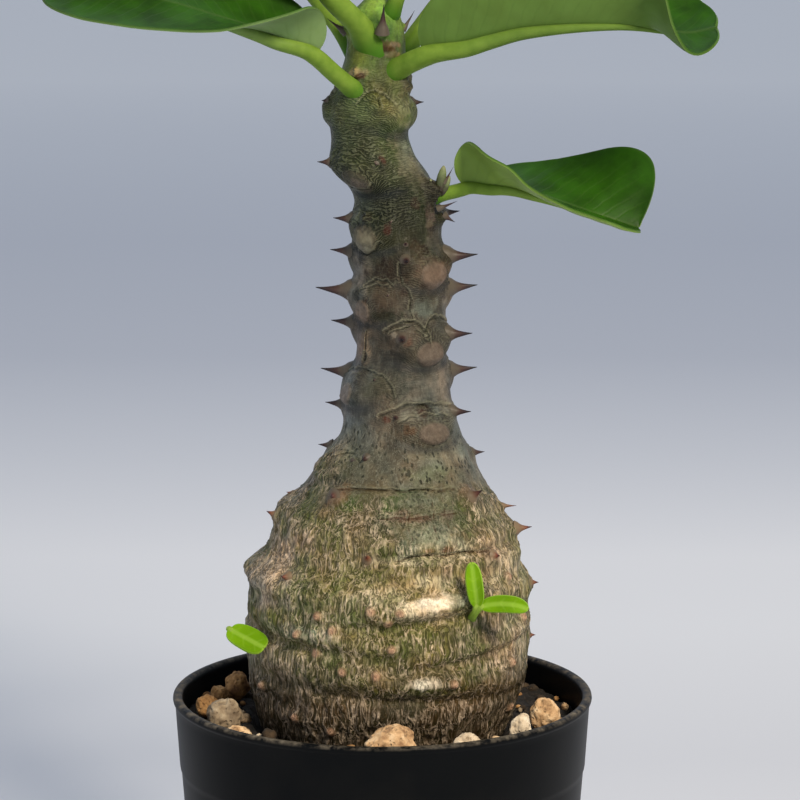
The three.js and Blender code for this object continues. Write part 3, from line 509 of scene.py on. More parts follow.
# Folds over the scars and cracks in the skin: half width, depth, and places along them as
# height and direction.
FOLDS = [
    (0.28, 0.3, [(164.2, -110), (165.6, -99), (166.3, -88), (166.4, -75), (165.3, -65), (164.4, -58),
                 (165.6, -52), (166.8, -43), (166.2, -25), (164.6, -1)]),
    (0.2, 0.2, [(164.0, -103), (165.1, -90), (165, -75), (163.5, -63)]),
    (0.16, 0.16, [(164.4, -58), (162.7, -55.5), (161.2, -55)]),
    (0.3, 0.3, [(146.6, -110), (147.9, -97), (148.8, -83), (148.9, -60), (148.4, -33), (147, -9)]),
    (0.2, 0.12, [(145.3, -90), (146.6, -77), (147, -60), (146.7, -48), (145.7, -32)]),
    (0.2, 0.25, [(178.6, -90), (176, -91), (174.3, -88), (173, -81), (170.9, -77), (168.8, -79),
                 (167.1, -75)]),
    (0.24, 0.25, [(154.4, 178), (155.3, -172), (155.8, -139), (155.2, -122), (154.2, -108),
                  (152.6, -99), (150.6, -95)]),
    (0.22, 0.22, [(173.6, -140), (175.2, -122), (174.9, -109), (173.7, -101)]),
    (0.18, 0.18, [(172.6, -143), (174.1, -123), (173.7, -106)]),
    (0.14, 0.35, [(163.9, -141), (161.6, -142.5), (159.4, -142)]),
    (0.35, 0.5, [(159.2, -142.5), (158.4, -143.5), (157.6, -146)]),
    (0.25, 0.3, [(180.6, -150), (179.9, -136), (180.8, -121), (182.6, -112)]),
    (0.2, 0.25, [(194.2, -142), (193.4, -128), (193.8, -114), (195.2, -106)]),
    (0.22, 0.25, [(137.8, -150), (138.8, -139), (138.6, -128), (137.4, -121)]),
    (0.26, 0.35, [(131.6, -132), (132.3, -112), (132, -92), (132.2, -72), (131.4, -48)]),
    (0.2, 0.2, [(127.4, -96), (126.8, -82), (127.1, -66), (127.5, -52)]),
    (0.16, 0.2, [(128.8, -80), (125.5, -80.5), (122.5, -79)]),
    (0.16, 0.2, [(130, -67), (127, -66), (123, -67.5)]), (0.14, 0.2, [(129, -59.5), (125, -58.5)]),
    (0.3, 0.4, [(119.2, -88), (119.9, -76), (119.3, -66), (119.8, -54), (119, -40)]),
    (0.22, 0.2, [(211.3, -106), (213.4, -94), (214, -80), (213.2, -66), (211.2, -55)]),
    (0.2, 0.35, [(212.4, -77), (210.4, -76)]),
]
for scar_height, scar_angle, *_ in SCARS:
    if abs(turn_between(scar_angle, -90)) > 75:
        arch = [(scar_height + 5.2 + 1.7 * math.sin(math.pi * k / 8), scar_angle - 48 + 12 * k)
                for k in range(9)]
        FOLDS.append((0.24, 0.25, arch))

# Crusts of old bud scales: height, direction, radius, how far they stand out.
CRUSTS = [(193.4, -24, 3, 2.6), (217.6, -118, 1.9, 0.8), (222.6, -62, 2.2, 0.7),
          (211.6, -78, 3, 0.8), (187.8, -132, 1.5, 0.7), (215.6, -20, 3.6, 1.3)]

# Spines that stand by themselves: height, direction, length, base radius, lift in degrees.
LONE_SPINES = [
    (130.4, -38, 3.4, 2.6, 28), (130.8, -129, 1.9, 2.5, 0), (128.2, 179, 1.4, 1.1, 10),
    (124.4, -172, 2.2, 2.2, 25), (125.8, -4, 3.4, 1.3, 0), (121, -4, 3.6, 2.7, 5),
    (119.7, -101, 1.7, 2.2, 20), (118.4, -39, 1.9, 2.2, 10), (114.4, -137, 1.6, 2, 10),
    (109, -2, 1.2, 2, 0), (97.6, -3, 1.1, 1.8, 0), (126, 70, 3.4, 2.2, 10),
    (122, 115, 2.8, 2.2, 10), (117, 40, 2, 2, 10), (114, 150, 1.8, 2, 10),
    (187.4, -14, 3.6, 1.7, -30), (191, 2, 3.4, 0.8, 45), (226.4, -172, 5.4, 1.6, 34),
    (227.2, -80, 7.2, 2.5, 68), (229, 175, 5, 1.1, 60), (227, 25, 5, 1.1, 55),
    (137.2, -128, 1.0, 1.4, 0), (182.6, -81, 1.6, 1.1, 10),
]

# Old leaf bases on the caudex, worn down to knobs: height, direction.
KNOBS = [
    (109.6, -97), (109.4, -86), (107.7, -119), (106.9, -90), (105.1, -112), (103.5, -127),
    (101.7, -88), (99.9, -119), (96.7, -107), (96.2, -94), (93.7, -64), (95.2, -31),
    (85.1, -130), (83.2, -113), (84.6, -25), (113.5, -30), (104, -20), (90, -150),
]
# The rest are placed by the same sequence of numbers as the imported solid's.
knob_state = 20417
for i in range(16):
    draws = []
    for low, high in ((84, 118), (5, 205)):
        knob_state = (knob_state * 1664525 + 1013904223) % 2 ** 32
        draws.append(low + (high - low) * knob_state / 2 ** 32)
    KNOBS.append(tuple(draws))
print("trunk:", len(RIDGES), "ridges,", len(SCARS), "scars,", len(KNOBS), "knobs")

# %% [markdown]
# The bark is painted as it is shaped. A table gives its general colour at each height, with
# painted shade in its darker tones near the soil and on the stem under the leaves, and each stain
# is a soft patch laid over it, at a height and direction, with an edge that noise breaks up. Some
# stains are painted highlights, light and shade. The colour is kept on the points. The fine
# pattern is left to the material.

# %% Bark colours
# Near the soil and at 184 to 197 mm the tones are darker, in part as painted shade.
BARK_TONES_AND_SHADE = [
    (80, "#4c3b26"), (86, "#50412a"), (92, "#615133"), (98, "#6f6440"), (105, "#756b43"),
    (111, "#8a7b52"), (117, "#867852"), (123, "#7f7252"), (129, "#685f47"), (133, "#69634f"),
    (140, "#666151"), (147, "#656055"), (154, "#5d584d"), (161, "#5d564a"), (169, "#514a3f"),
    (177, "#4b4437"), (184, "#3f3f2a"), (190, "#333b22"), (197, "#434a2b"), (204, "#434b2b"),
    (211, "#515a34"), (216, "#586337"), (221, "#5b6d32"), (227, "#668433"), (233, "#74963c"),
]
# A stain: hex colour, height, direction, half height, half width in degrees, strength.
STAINS = [
    ("#6b4a30", 223, -66, 1.1, 26, 0.8), ("#9c7f62", 223.4, -48, 0.6, 16, 0.7),
    ("#7a7460", 215.4, -14, 2.6, 26, 0.6),
    ("#9a8a64", 217.8, -122, 0.9, 22, 0.9), ("#4c2a16", 217.1, -110, 0.6, 7, 0.9),
    ("#5f4022", 222.6, -74, 0.6, 16, 0.9), ("#a08f66", 221.4, -60, 0.5, 22, 0.7),
    ("#6b4a2c", 221.8, -86, 0.4, 10, 0.8),
    ("#5a5c2c", 213.6, -88, 2, 16, 0.7), ("#8a9150", 211.4, -64, 1.2, 12, 0.6),
    ("#2a2013", 193.8, -18, 3, 26, 0.95), ("#3a2f20", 187.9, -132, 1.2, 9, 0.9),
    ("#6c6b48", 211, -46, 3, 24, 0.8), ("#3a4c22", 203, -62, 4, 17, 0.75),
    ("#3a3d26", 204.5, -112, 4, 34, 0.5), ("#807b62", 198, -36, 7, 24, 0.9),
    ("#2a331c", 199.4, -88, 1.7, 11, 0.8), ("#632f22", 199.9, -78, 1, 4, 0.8),
    ("#5b573f", 197.3, -121, 2, 24, 0.5), ("#837566", 194.7, -125, 1.2, 15, 0.85),
    ("#6f725e", 191.6, -133, 2.6, 22, 0.7), ("#2b311b", 190, -92, 5, 26, 0.8),
    ("#31281b", 191.8, -30, 4.6, 13, 0.9), ("#73625a", 187.8, -42, 2.4, 9, 0.9),
    ("#ab9b78", 183.2, -137, 3.1, 20, 0.95), ("#c2b490", 180.9, -137, 0.6, 13, 0.7),
    ("#31331c", 182.8, -102, 3, 13, 0.85), ("#57281b", 185.6, -104, 1, 4, 0.8),
    ("#685f51", 182.6, -34, 3, 15, 0.7), ("#2b2016", 177.2, -108, 2.9, 14, 0.9),
    ("#a08f7c", 177, -150, 4.5, 15, 0.75), ("#352c22", 177.6, -86, 3.6, 9, 0.8),
    ("#44301f", 181.4, -64, 1.6, 12, 0.7), ("#6f5d4e", 176, -48, 3.6, 22, 0.8),
    ("#7d6d5b", 172.8, -54, 1.4, 18, 0.5), ("#4b4135", 171.6, -110, 2.2, 14, 0.8),
    # The dark stain at 167.2 mm, -108 is painted shade under a mound.
    ("#a08c79", 168.3, -144, 2.6, 15, 0.8), ("#2b3020", 167.2, -108, 1.5, 19, 0.75),
    ("#6a6c5f", 169.2, -56, 1.9, 22, 0.75), ("#8d8879", 167, 2, 6, 26, 0.7),
    # The small pale stain at 163.8 mm, -99 is a painted highlight on a mound.
    ("#6b6055", 164, -101, 1.7, 9, 0.6), ("#a39c8c", 163.8, -99, 0.6, 4, 0.7),
    ("#6c6254", 163, -74, 2.2, 12, 0.7), ("#7b5440", 162.2, -84, 1, 8, 0.6),
    ("#7d7264", 161.7, -5, 4, 16, 0.6), ("#8f7f6b", 161, -148, 4.2, 17, 0.7),
    # The two dark stains at 157.4 mm and 153 mm are painted shade under mounds.
    ("#3c3d39", 157.4, -104, 2.8, 22, 0.8), ("#3b3f38", 153, -92, 3.4, 20, 0.75),
    ("#857d70", 153.6, -36, 4.4, 24, 0.8), ("#5a4e43", 154.1, -146, 1.8, 14, 0.6),
    ("#8c8076", 150.5, -158, 2.6, 15, 0.8), ("#4b4a3a", 152.2, -118, 2.6, 14, 0.7),
    ("#837c72", 146.5, -151, 3.2, 20, 0.7), ("#54524a", 147.2, -116, 3, 16, 0.6),
    ("#98998a", 146.8, -80, 1, 12, 0.75), ("#8f8f82", 147.4, -40, 1.1, 10, 0.7),
    ("#33251b", 148, -62, 0.8, 7, 0.8), ("#62392b", 146.1, -102, 0.8, 4, 0.8),
    ("#6d4c32", 144, -81, 1.2, 6, 0.7), ("#66645a", 141.9, -121, 3, 18, 0.6),
    ("#57554a", 138.6, -94, 3.2, 18, 0.5), ("#7f806c", 137.6, -62, 3.2, 20, 0.7),
    ("#5d6b36", 135.2, -64, 1.6, 16, 0.3), ("#978a7a", 134, -162, 4, 18, 0.8),
    ("#7d7666", 134.5, -20, 4, 15, 0.6), ("#8e8a78", 138.4, -40, 2.4, 14, 0.6),
    ("#4c6a28", 129.3, -118, 1.6, 8, 0.6), ("#4f6e28", 129.2, -92, 2.4, 6, 0.75),
    ("#626349", 126.8, -68, 6.6, 23, 0.85), ("#525a38", 130.6, -84, 1.5, 13, 0.6),
    ("#6a4636", 127, -75, 0.7, 12, 0.75), ("#6e5648", 127.7, -87, 1, 7, 0.7),
    ("#6b5348", 127.3, -56, 0.9, 6, 0.7), ("#86866f", 123.8, -67, 2.2, 15, 0.6),
    ("#7b7d68", 130, -74, 0.8, 14, 0.5), ("#a0906f", 124.5, -122, 3, 14, 0.5),
    ("#5a6030", 115.8, -117, 4, 22, 0.55), ("#565c2e", 106.8, -117, 3, 28, 0.6),
    ("#555a2b", 104.4, -62, 3.4, 12, 0.6), ("#5f642e", 117, -84, 2.2, 10, 0.45),
    ("#646132", 99.6, -96, 1.8, 42, 0.5), ("#5a612b", 92.6, -74, 1.5, 20, 0.7),
    # The pale stains at 111 mm, 108.8 mm and 94.2 mm paint the key lamp's glints on the waxy ridges,
    # as painted highlights.
    ("#f6eeda", 111, -70, 1.4, 12, 1), ("#d9ccae", 108.8, -77, 1.8, 13, 0.7),
    ("#f4ead2", 94.2, -75, 1, 6, 1), ("#c3b391", 112, -92, 1.8, 13, 0.6),
    ("#0e0c08", 158.3, -143.4, 0.9, 3.6, 1), ("#1c1711", 161.6, -142.2, 2.4, 1.3, 0.9),
    ("#1d1610", 178.6, -151, 1.4, 7, 0.85), ("#2a1a12", 176.2, -139, 0.8, 5, 0.8),
    ("#3c2418", 170.4, -135, 0.8, 6, 0.8), ("#3a261a", 172.4, -84, 1.1, 4, 0.7),
    ("#2c1c14", 180.9, -52, 1, 6, 0.8), ("#4a2c20", 190.8, -62, 1.1, 7, 0.75),
    ("#2a1a12", 179.4, -110, 0.9, 4, 0.8), ("#8c8066", 186.4, -44, 0.8, 7, 0.6),
    ("#241a12", 185.4, -36, 0.8, 10, 0.7), ("#2b1d14", 173.9, -60, 0.5, 5, 0.7),
    ("#4d2a1e", 147.4, -66, 0.9, 4, 0.8), ("#3a2318", 148.6, -63, 0.5, 6, 0.7),
    ("#858a7b", 103.4, -130, 1.7, 20, 0.5), ("#5b5749", 100.4, -51, 5, 11, 0.6),
    ("#4a4a30", 117.6, -148, 2.4, 12, 0.6), ("#c9b598", 120.6, -146, 1.4, 14, 0.6),
    # The pale stain at 114.8 mm, -70 is a painted highlight on the ridge's streaks.
    ("#cdb99c", 108.4, -148, 1.2, 12, 0.6), ("#cfc7a2", 114.8, -70, 1.6, 9, 0.6),
    ("#b49c7e", 119.5, -133, 5, 12, 0.7), ("#4b4432", 92, -140, 6, 24, 0.55),
    ("#a3968a", 156, -162, 8, 13, 0.5), ("#a09484", 173, -166, 8, 13, 0.5),
    ("#7f7666", 178.2, -134, 1.6, 9, 0.7), ("#857868", 172.4, -140, 2.2, 9, 0.7),
    ("#8b8a6c", 190, -158, 7, 16, 0.6), ("#c0a491", 115, -150, 8, 20, 0.45),
    ("#7c5a3e", 130.8, -128, 2, 7, 0.85), ("#8a684a", 130.2, -40, 2.2, 9, 0.8),
    ("#7a3b2a", 120.2, -101, 1.4, 6, 0.7), ("#85523c", 118.4, -38, 1.6, 7, 0.7),
    ("#4a5a20", 120.5, -96, 1.8, 13, 0.7), ("#46561e", 126.2, -48, 4, 6, 0.5),
    ("#3f4a1c", 95.2, -52, 2, 14, 0.7), ("#4f5a24", 110.4, -58, 2.2, 9, 0.7),
    ("#3e4a1e", 112.6, -122, 2.6, 11, 0.6),
    ("#383d35", 112.6, -47, 2, 6, 0.8), ("#4a463f", 104, -44, 4, 6, 0.5),
    ("#d2c3a0", 119.4, -76, 1.1, 24, 0.85), ("#bfae8e", 121, -62, 1.3, 26, 0.6),
    ("#8a5138", 120.7, -73, 0.7, 3.4, 0.85), ("#7a4630", 121, -63, 0.7, 3, 0.85),
    ("#a98f74", 116.4, -64.5, 1.8, 2.4, 0.8), ("#b49e82", 116, -34, 4, 16, 0.6),
    # The two pale stains at 112.5 mm and 97 mm on the caudex's left edge are painted light.
    ("#b5a188", 112.5, -158, 5, 22, 0.6), ("#a08c76", 97, -156, 6, 15, 0.6),
    # The dark stain at 86 mm, -118 is painted shade low on the caudex's left.
    ("#ac967e", 99, -28, 7, 18, 0.6), ("#463725", 86, -118, 4, 34, 0.5),
]
# The side that the picture doesn't show has patches of the same tones at random.
SIDE_STAIN_COUNT = 90
SIDE_STAINS = ("#3c4226", "#6f6a4f", "#8a8272", "#4b3a2a", "#5d6b3a", "#77685a", "#9a927c",
               "#36352c")
for i in range(SIDE_STAIN_COUNT):
    STAINS.append((SIDE_STAINS[chance.integers(len(SIDE_STAINS))], chance.uniform(84, 228),
                   chance.uniform(25, 200), chance.uniform(1.2, 4.5), chance.uniform(10, 30),
                   chance.uniform(0.3, 0.7)))

# How much lighter or darker the bark is painted at each height, in part its own tone and in part
# painted light and shade: lighter on the caudex's middle, where the key lamp falls, and darker at
# its foot and on the stem under the leaves.
BARK_LIGHT_AND_SHADE = [(80, 0.68), (88, 0.78), (94, 1.06), (103, 1.36), (118, 1.3), (126, 1), (134, 0.74),
             (146, 0.72), (160, 0.68), (174, 0.72), (182, 0.57), (190, 0.34), (200, 0.68), (206, 1),
             (214, 1.04), (224, 0.96), (233, 0.92)]


def paint_bark(height, angle, points):
    """Linear colour of the bark at each point, with painted light and shade by height."""
    heights = [row[0] for row in BARK_TONES_AND_SHADE]
    tones = np.array([linear(row[1])[:3] for row in BARK_TONES_AND_SHADE])
    colour = np.stack([np.interp(height, heights, tones[:, i]) for i in range(3)], axis=-1)
    ragged = (0.4 * noise(points, 1.4, 71) + 0.35 * noise(points, 0.6, 72)).reshape(height.shape)
    for hex_colour, stain_height, stain_angle, half_height, half_width, strength in STAINS:
        away = np.hypot((height - stain_height) / half_height,
                        turn_between(angle, stain_angle) / half_width)
        share = strength * (1 - smoothstep(0.5, 1.35, away + ragged))
        colour += share[..., None] * (np.array(linear(hex_colour)[:3]) - colour)
    clouds = 0.32 * noise(points, 4.2, 75) + 0.24 * noise(points, (1.4, 1.4, 2.2), 76)
    # Painted light and shade by height, broken up by cloudy noise.
    light = read_table(BARK_LIGHT_AND_SHADE, height.ravel(), 1) * (1 + clouds)
    warmth = noise(points, 5.5, 78) + 0.6 * noise(points, 2.1, 79)
    hue = 1 + warmth[:, None] * (0.16, -0.02, -0.14)
    return colour * (light[:, None] * hue).reshape(*height.shape, 3)


print("bark:", len(BARK_TONES_AND_SHADE), "tones and", len(STAINS), "stains")

# %% [markdown]
# The relief is worked out for every point of the skin at once. Beside it, the points keep masks
# from 0 to 1 that the material reads: where fibres cover the bark, where growth lines run, where
# the skin is dashed with slits, and where scars, folds, lips and knobs are. The mask named grain
# is a running number: it starts as the height in millimetres and rises a few more over each scar
# and mound, so that lines drawn at its even steps run round them, as growth lines do.

# %% Places on the bark
FEATURES = ("fibre", "lined", "dashed", "scar", "fold", "lip", "knob", "grain", "wax_and_highlight", "under")


def on_bark(height, angle, mark_height, mark_angle):
    """Millimetres across and up from a mark to each point, along the bark."""
    radius = read_table(TRUNK_OUTLINE, np.array([mark_height]), 2)[0]
    return np.radians(turn_between(angle, mark_angle)) * radius, height - mark_height


def line_distance(height, angle, line):
    """Millimetres from each point to a line on the bark, and how far above the line it lies."""
    middle_height, middle_angle = line[len(line) // 2]
    across, up = on_bark(height, angle, middle_height, middle_angle)
    spots = [on_bark(np.array(h, float), np.array(a, float), middle_height, middle_angle)
             for h, a in line]
    nearest = np.full(height.shape, 99.0)
    above = np.zeros(height.shape)
    for (x0, z0), (x1, z1) in zip(spots, spots[1:]):
        run_x, run_z = x1 - x0, z1 - z0
        share = ((across - x0) * run_x + (up - z0) * run_z) / (run_x ** 2 + run_z ** 2)
        share = np.clip(share, 0, 1)
        off_x, off_z = across - x0 - share * run_x, up - z0 - share * run_z
        distance = np.hypot(off_x, off_z)
        above = np.where(distance < nearest, off_z, above)
        nearest = np.minimum(nearest, distance)
    return nearest, above


def bark_points(height, angle, radius):
    """Places in millimetres of points given by height, direction and radius."""
    middle = read_table(TRUNK_OUTLINE, height.ravel(), 1).reshape(height.shape)
    around = np.radians(angle)
    return np.stack([middle + radius * np.cos(around), radius * np.sin(around), height], axis=-1)


def bark_noise(height, angle, radius, cell, seed):
    """Noise on a tube of one radius round the trunk, which breaks up the edges of marks."""
    places = bark_points(height, angle, radius + 0 * height).reshape(-1, 3)
    return noise(places, cell, seed).reshape(height.shape)


print("bark: masks for", ", ".join(FEATURES))

# %% [markdown]
# Ridges and creases run round the caudex like the folds of a thick skin, each a soft bell in
# height and in direction. A knob is what is left of an old leaf base: a pimple with a pit in it,
# and a dark ring round it that is painted shadow.

# %% Relief of ridges and knobs
CORK_TOP = 124                 # below this height the ridges are of thick cork, and stand higher
CORK_GAIN = 1.3
KNOB_RISE = 1.5
KNOB_PIT = 0.5
KNOB_RADIUS = 0.98
# The dark ring round a knob is a painted shadow.
KNOB_SHADOW_RING = 1.75               # how far from its middle the dark ring lies


def add_ridges(relief, height, angle):
    for ridge_height, ridge_angle, half_height, half_width, rise, climb in RIDGES:
        turn = turn_between(angle, ridge_angle)
        crest = ridge_height + climb * turn / 90
        gain = CORK_GAIN if ridge_height < CORK_TOP else 1
        relief += gain * rise * bell(height - crest, half_height) * bell(turn, half_width)


def add_knobs(relief, masks, height, angle):
    for knob_height, knob_angle in KNOBS:
        distance = np.hypot(*on_bark(height, angle, knob_height, knob_angle))
        relief += KNOB_RISE * bell(distance, KNOB_RADIUS) - KNOB_PIT * bell(distance, 0.34)
        masks["knob"] += bell(distance, 0.92)
        # The second term is the painted shadow ring round the knob.
        masks["fold"] += 0.8 * bell(distance, 0.28) + 0.5 * bell(distance - KNOB_SHADOW_RING, 0.24)


# %% [markdown]
# Each leaf left a scar on a mound. The scar is a low disc with a groove round it and two dark
# rings, and the mound's underside lies in shade. The newest scars at the left still have the
# pleats of their rims. Two spines stand over each scar, each on a swelling of its own.

# %% Relief of the scars
MOUND_RISE = 1.25
MOUND_HALF_WIDTH = 7.8
MOUND_MIDDLE = 1.2             # above the scar's middle
MOUND_UP = 4.6
MOUND_DOWN = 3.9
SHADED_FROM = 138              # mounds below this height have no shade under them
PLEATED_FROM = 180             # scars above it, between these directions, have pleated rims
PLEATED_SIDE = (-180, -120)
PLEATS = 15


def add_scars(relief, masks, height, angle):
    """Adds the scars, and returns where the skin is smooth, because a scar's disc lies there."""
    smooth_disc = np.zeros(height.shape)
    for scar_height, scar_angle, scar_radius, wide, plain, lengths in SCARS:
        across, up = on_bark(height, angle, scar_height, scar_angle)
        edge = np.hypot(across / wide, up) / scar_radius
        mound = np.hypot(across / MOUND_HALF_WIDTH,
                         (up - MOUND_MIDDLE) / np.where(up > MOUND_MIDDLE, MOUND_UP, MOUND_DOWN))
        relief += MOUND_RISE * (1 - smoothstep(0.5, 1.08, mound))
        relief += 0.25 * (1 - smoothstep(0.85, 1.12, edge)) * (0.4 + plain)
        relief -= 0.16 * plain * bell(edge - 1.02, 0.1)
        if scar_height > SHADED_FROM:
            masks["under"] += bell(mound - 1.15, 0.22) * smoothstep(0, -3, up)
        masks["grain"] += 5.5 * bell(edge, 1.25)
        masks["lined"] += 0.4 * bell(edge - 1.3, 0.6)
        masks["scar"] += plain * (1 - smoothstep(0.84, 1.12, edge))
        rings = 0.4 * bell(edge - 1.05, 0.09) + 0.2 * bell(edge - 0.6, 0.05)
        masks["fold"] += plain * rings
        smooth_disc = np.maximum(smooth_disc, 1 - smoothstep(0.8, 1.15, edge))
        if scar_height > PLEATED_FROM and PLEATED_SIDE[0] < scar_angle < PLEATED_SIDE[1]:
            pleats = smoothstep(0, 0.7, np.cos(PLEATS * np.arctan2(across / wide, up)))
            pleats = pleats * smoothstep(-1, 1, up)
            masks["fold"] += 0.7 * pleats * bell(edge - 1.0, 0.17)
        for hand, length in zip((-1, 1), lengths):
            foot_across, foot_up = on_bark(height, angle, scar_height + SPINE_RISE,
                                           scar_angle + hand * SPINE_SPREAD)
            foot = np.hypot(foot_across * 0.95, foot_up * (0.9 if scar_height > 140 else 1.2))
            relief += (0.3 + 0.17 * length) * bell(foot, 1.9 + 0.08 * length)
            masks["grain"] += 1.6 * bell(foot, 2.6)
    return smooth_disc


# %% [markdown]
# A fold is a groove with a swollen lip on each side. Its line is shaken by noise, because no
# fold of a skin is a smooth curve. Crusts are crumbly mounds, and a spine that stands alone has
# a swollen foot.

# %% Relief of folds, crusts and lone spines
FOLD_REACH = 6                 # millimetres from a fold's line to where its swelling ends


def add_folds(relief, masks, height, angle):
    shaken = height + 0.4 * bark_noise(height, angle, 10, 1.3, 77)
    for half_width, depth, line in FOLDS:
        distance, above = line_distance(shaken, angle, line)
        near = distance < FOLD_REACH
        away = np.clip(distance, 0, FOLD_REACH)
        relief -= depth * bell(away, half_width)
        relief += 0.5 * depth * bell(away - 2.4 * half_width, 1.6 * half_width) * near
        masks["fold"] += bell(away, 0.62 * half_width)
        masks["lip"] += bell(away - 1.9 * half_width, 0.7 * half_width) * (above > 0)
        masks["lined"] += 0.25 * bell(away, 1.6)
        masks["grain"] += 0.9 * bell(away, 1.8)


def add_crusts(relief, height, angle):
    for crust_height, crust_angle, reach, rise in CRUSTS:
        distance = np.hypot(*on_bark(height, angle, crust_height, crust_angle))
        crumbs = 1 + 0.55 * bark_noise(height, angle, 9, 0.9, 74)
        relief += rise * (1 - smoothstep(0.3, 1.1, distance / reach)) * crumbs


def add_lone_feet(relief, masks, height, angle):
    for spine_height, spine_angle, length, base, _ in LONE_SPINES:
        foot = bell(np.hypot(*on_bark(height, angle, spine_height, spine_angle)), base * 0.75)
        relief += (0.3 + 0.22 * base) * length ** 0.5 * foot
        if spine_height < CREASE_HEIGHT:
            masks["scar"] += 0.9 * foot


# %% [markdown]
# The rest of the masks follow from height and direction alone. Fibres cover the caudex up to the
# crease, with one smooth patch in front. Slits lie just above the crease. Growth lines show best
# on the neck, less on its right. The two shiny places are where wax has built up, and the bark is
# painted paler there too, as the key lamp's highlight.

# %% Masks by height and direction
# A patch: height, direction, half height, half width in degrees, and climb in a quarter turn.
SMOOTH_PATCH = (127.5, -69, 7.5, 25, 0)
# The two patches of wax, where the bark is also painted paler as a highlight.
WAX_AND_HIGHLIGHT_PATCHES = [(110.522, -71, 1.8, 16, 7), (94.5, -74, 0.9, 5, 0)]


def from_patch(height, angle, patch):
    """0 at a patch's middle, and 1 at its edge."""
    patch_height, patch_angle, half_height, half_width, climb = patch
    turn = turn_between(angle, patch_angle)
    return np.hypot((height - patch_height - climb * turn / 90) / half_height, turn / half_width)


def add_zones(masks, height, angle, smooth_disc):
    ragged = 2.2 * bark_noise(height, angle, 12, 4.5, 73)
    patch = from_patch(height, angle, SMOOTH_PATCH)
    smooth_patch = 1 - smoothstep(0.6, 1.1, patch + 0.12 * ragged)
    front_fibre = (1 - smoothstep(127, 133.5, height + ragged)) * (1 - 0.7 * smooth_patch)
    side_fibre = bell(turn_between(angle, -158), 22) * (1 - smoothstep(137, 143, height + ragged))
    masks["fibre"] = np.maximum(front_fibre, side_fibre)
    dashed = smoothstep(130.5, 133.5, height) * (1 - smoothstep(141, 146, height + ragged))
    masks["dashed"] = dashed + 0.8 * smooth_patch + 0.3 * smoothstep(141, 146, height)
    neck = smoothstep(185, 190, height) * (1 - smoothstep(213, 220, height))
    right_side = bell(turn_between(angle, -32), 30)
    dark_neck = bell(height - 190, 6)
    masks["lined"] += 0.95 * neck * (1 - 0.6 * right_side) * (1 - 0.4 * dark_neck) + 0.16
    masks["lined"] *= 1 - 0.6 * smooth_disc
    shine = np.minimum(*[from_patch(height, angle, patch) for patch in WAX_AND_HIGHLIGHT_PATCHES])
    masks["wax_and_highlight"] = 1 - smoothstep(0.4, 1.3, shine + 0.32 * ragged)


def trunk_relief(height, angle):
    """The bark's radius and the feature masks at each height and direction."""
    masks = {feature: np.zeros(height.shape) for feature in FEATURES}
    masks["grain"] += height
    relief = np.zeros(height.shape)
    add_ridges(relief, height, angle)
    add_knobs(relief, masks, height, angle)
    smooth_disc = add_scars(relief, masks, height, angle)
    add_folds(relief, masks, height, angle)
    add_crusts(relief, height, angle)
    add_lone_feet(relief, masks, height, angle)
    add_zones(masks, height, angle, smooth_disc)
    above_soil = smoothstep(SOIL_LEVEL - 3, SOIL_LEVEL + 3, height)
    radius = read_table(TRUNK_OUTLINE, height.ravel(), 2).reshape(height.shape)
    return radius + relief * above_soil, masks


# %% [markdown]
# The skin is made in two stretches that meet in the crease. The fine relief of the cork comes on
# last: upright strands and threads where the bark is fibrous, shallow dents where it isn't.

# %% Trunk skin
def bark_wrinkle(points, fibre):
    """Fine relief in millimetres, at points that are fibrous by a share from 0 to 1."""
    drift = np.stack([noise(points, 5, 31), noise(points, 5, 32), noise(points, 7, 33)], axis=-1)
    wandered = points + drift * (1.4, 1.4, 0.8)
    strand = 1 - np.abs(noise(wandered, (1.3, 1.3, 4.2), 34)) * 2.6
    thread = noise(wandered, (0.8, 0.8, 2.4), 35)
    lumps = noise(points, (5, 5, 3), 36)
    dents = 0.09 * noise(points, 2.2, 45) + 0.1 * noise(points, 4.5, 46)
    return fibre * (0.24 * strand + 0.15 * thread + 0.35 * lumps) + (1 - 0.7 * fibre) * dents


def trunk_skin(name, low, high, rows, columns):
    """A closed stretch of the trunk between two heights, with its masks and its colour."""
    heights = np.linspace(low, high, rows)
    angles = np.arange(columns) * 360 / columns
    height, angle = np.meshgrid(heights, angles, indexing="ij")
    radius, masks = trunk_relief(height, angle)
    plain = bark_points(height, angle, radius).reshape(-1, 3)
    radius = radius + bark_wrinkle(plain, masks["fibre"].ravel()).reshape(height.shape)
    points = bark_points(height, angle, radius)
    colour = paint_bark(height, angle, plain)
    first = bark_points(height[:1], angle[:1], radius[:1] * 0)
    last = bark_points(height[-1:], angle[-1:], radius[-1:] * 0)
    points = np.concatenate([first, points, last])
    for i, channel in enumerate(("red", "green", "blue")):
        masks[channel] = colour[..., i]
    masks = {feature: np.concatenate([values[:1], values, values[-1:]])
             for feature, values in masks.items()}
    return rolled_skin(name, points * MM, masks)


caudex = trunk_skin("caudex", SOIL_LEVEL - 5, CREASE_HEIGHT, 200, 480)
stem = trunk_skin("stem", CREASE_HEIGHT, TRUNK_TOP, 390, 240)
print("trunk skin:", len(caudex.data.vertices), "and", len(stem.data.vertices), "points")

# %% [markdown]
# A spine is a stiff horn that grew with the stem: its foot is the stem's own colour, and it
# darkens to a nearly black point. One spine of unit length is made from a rolled grid, and each
# spine of the plant is a copy that is stretched to its length and turned to its direction.

# %% Unit spine and unit scale
HORN_SIDES = 14
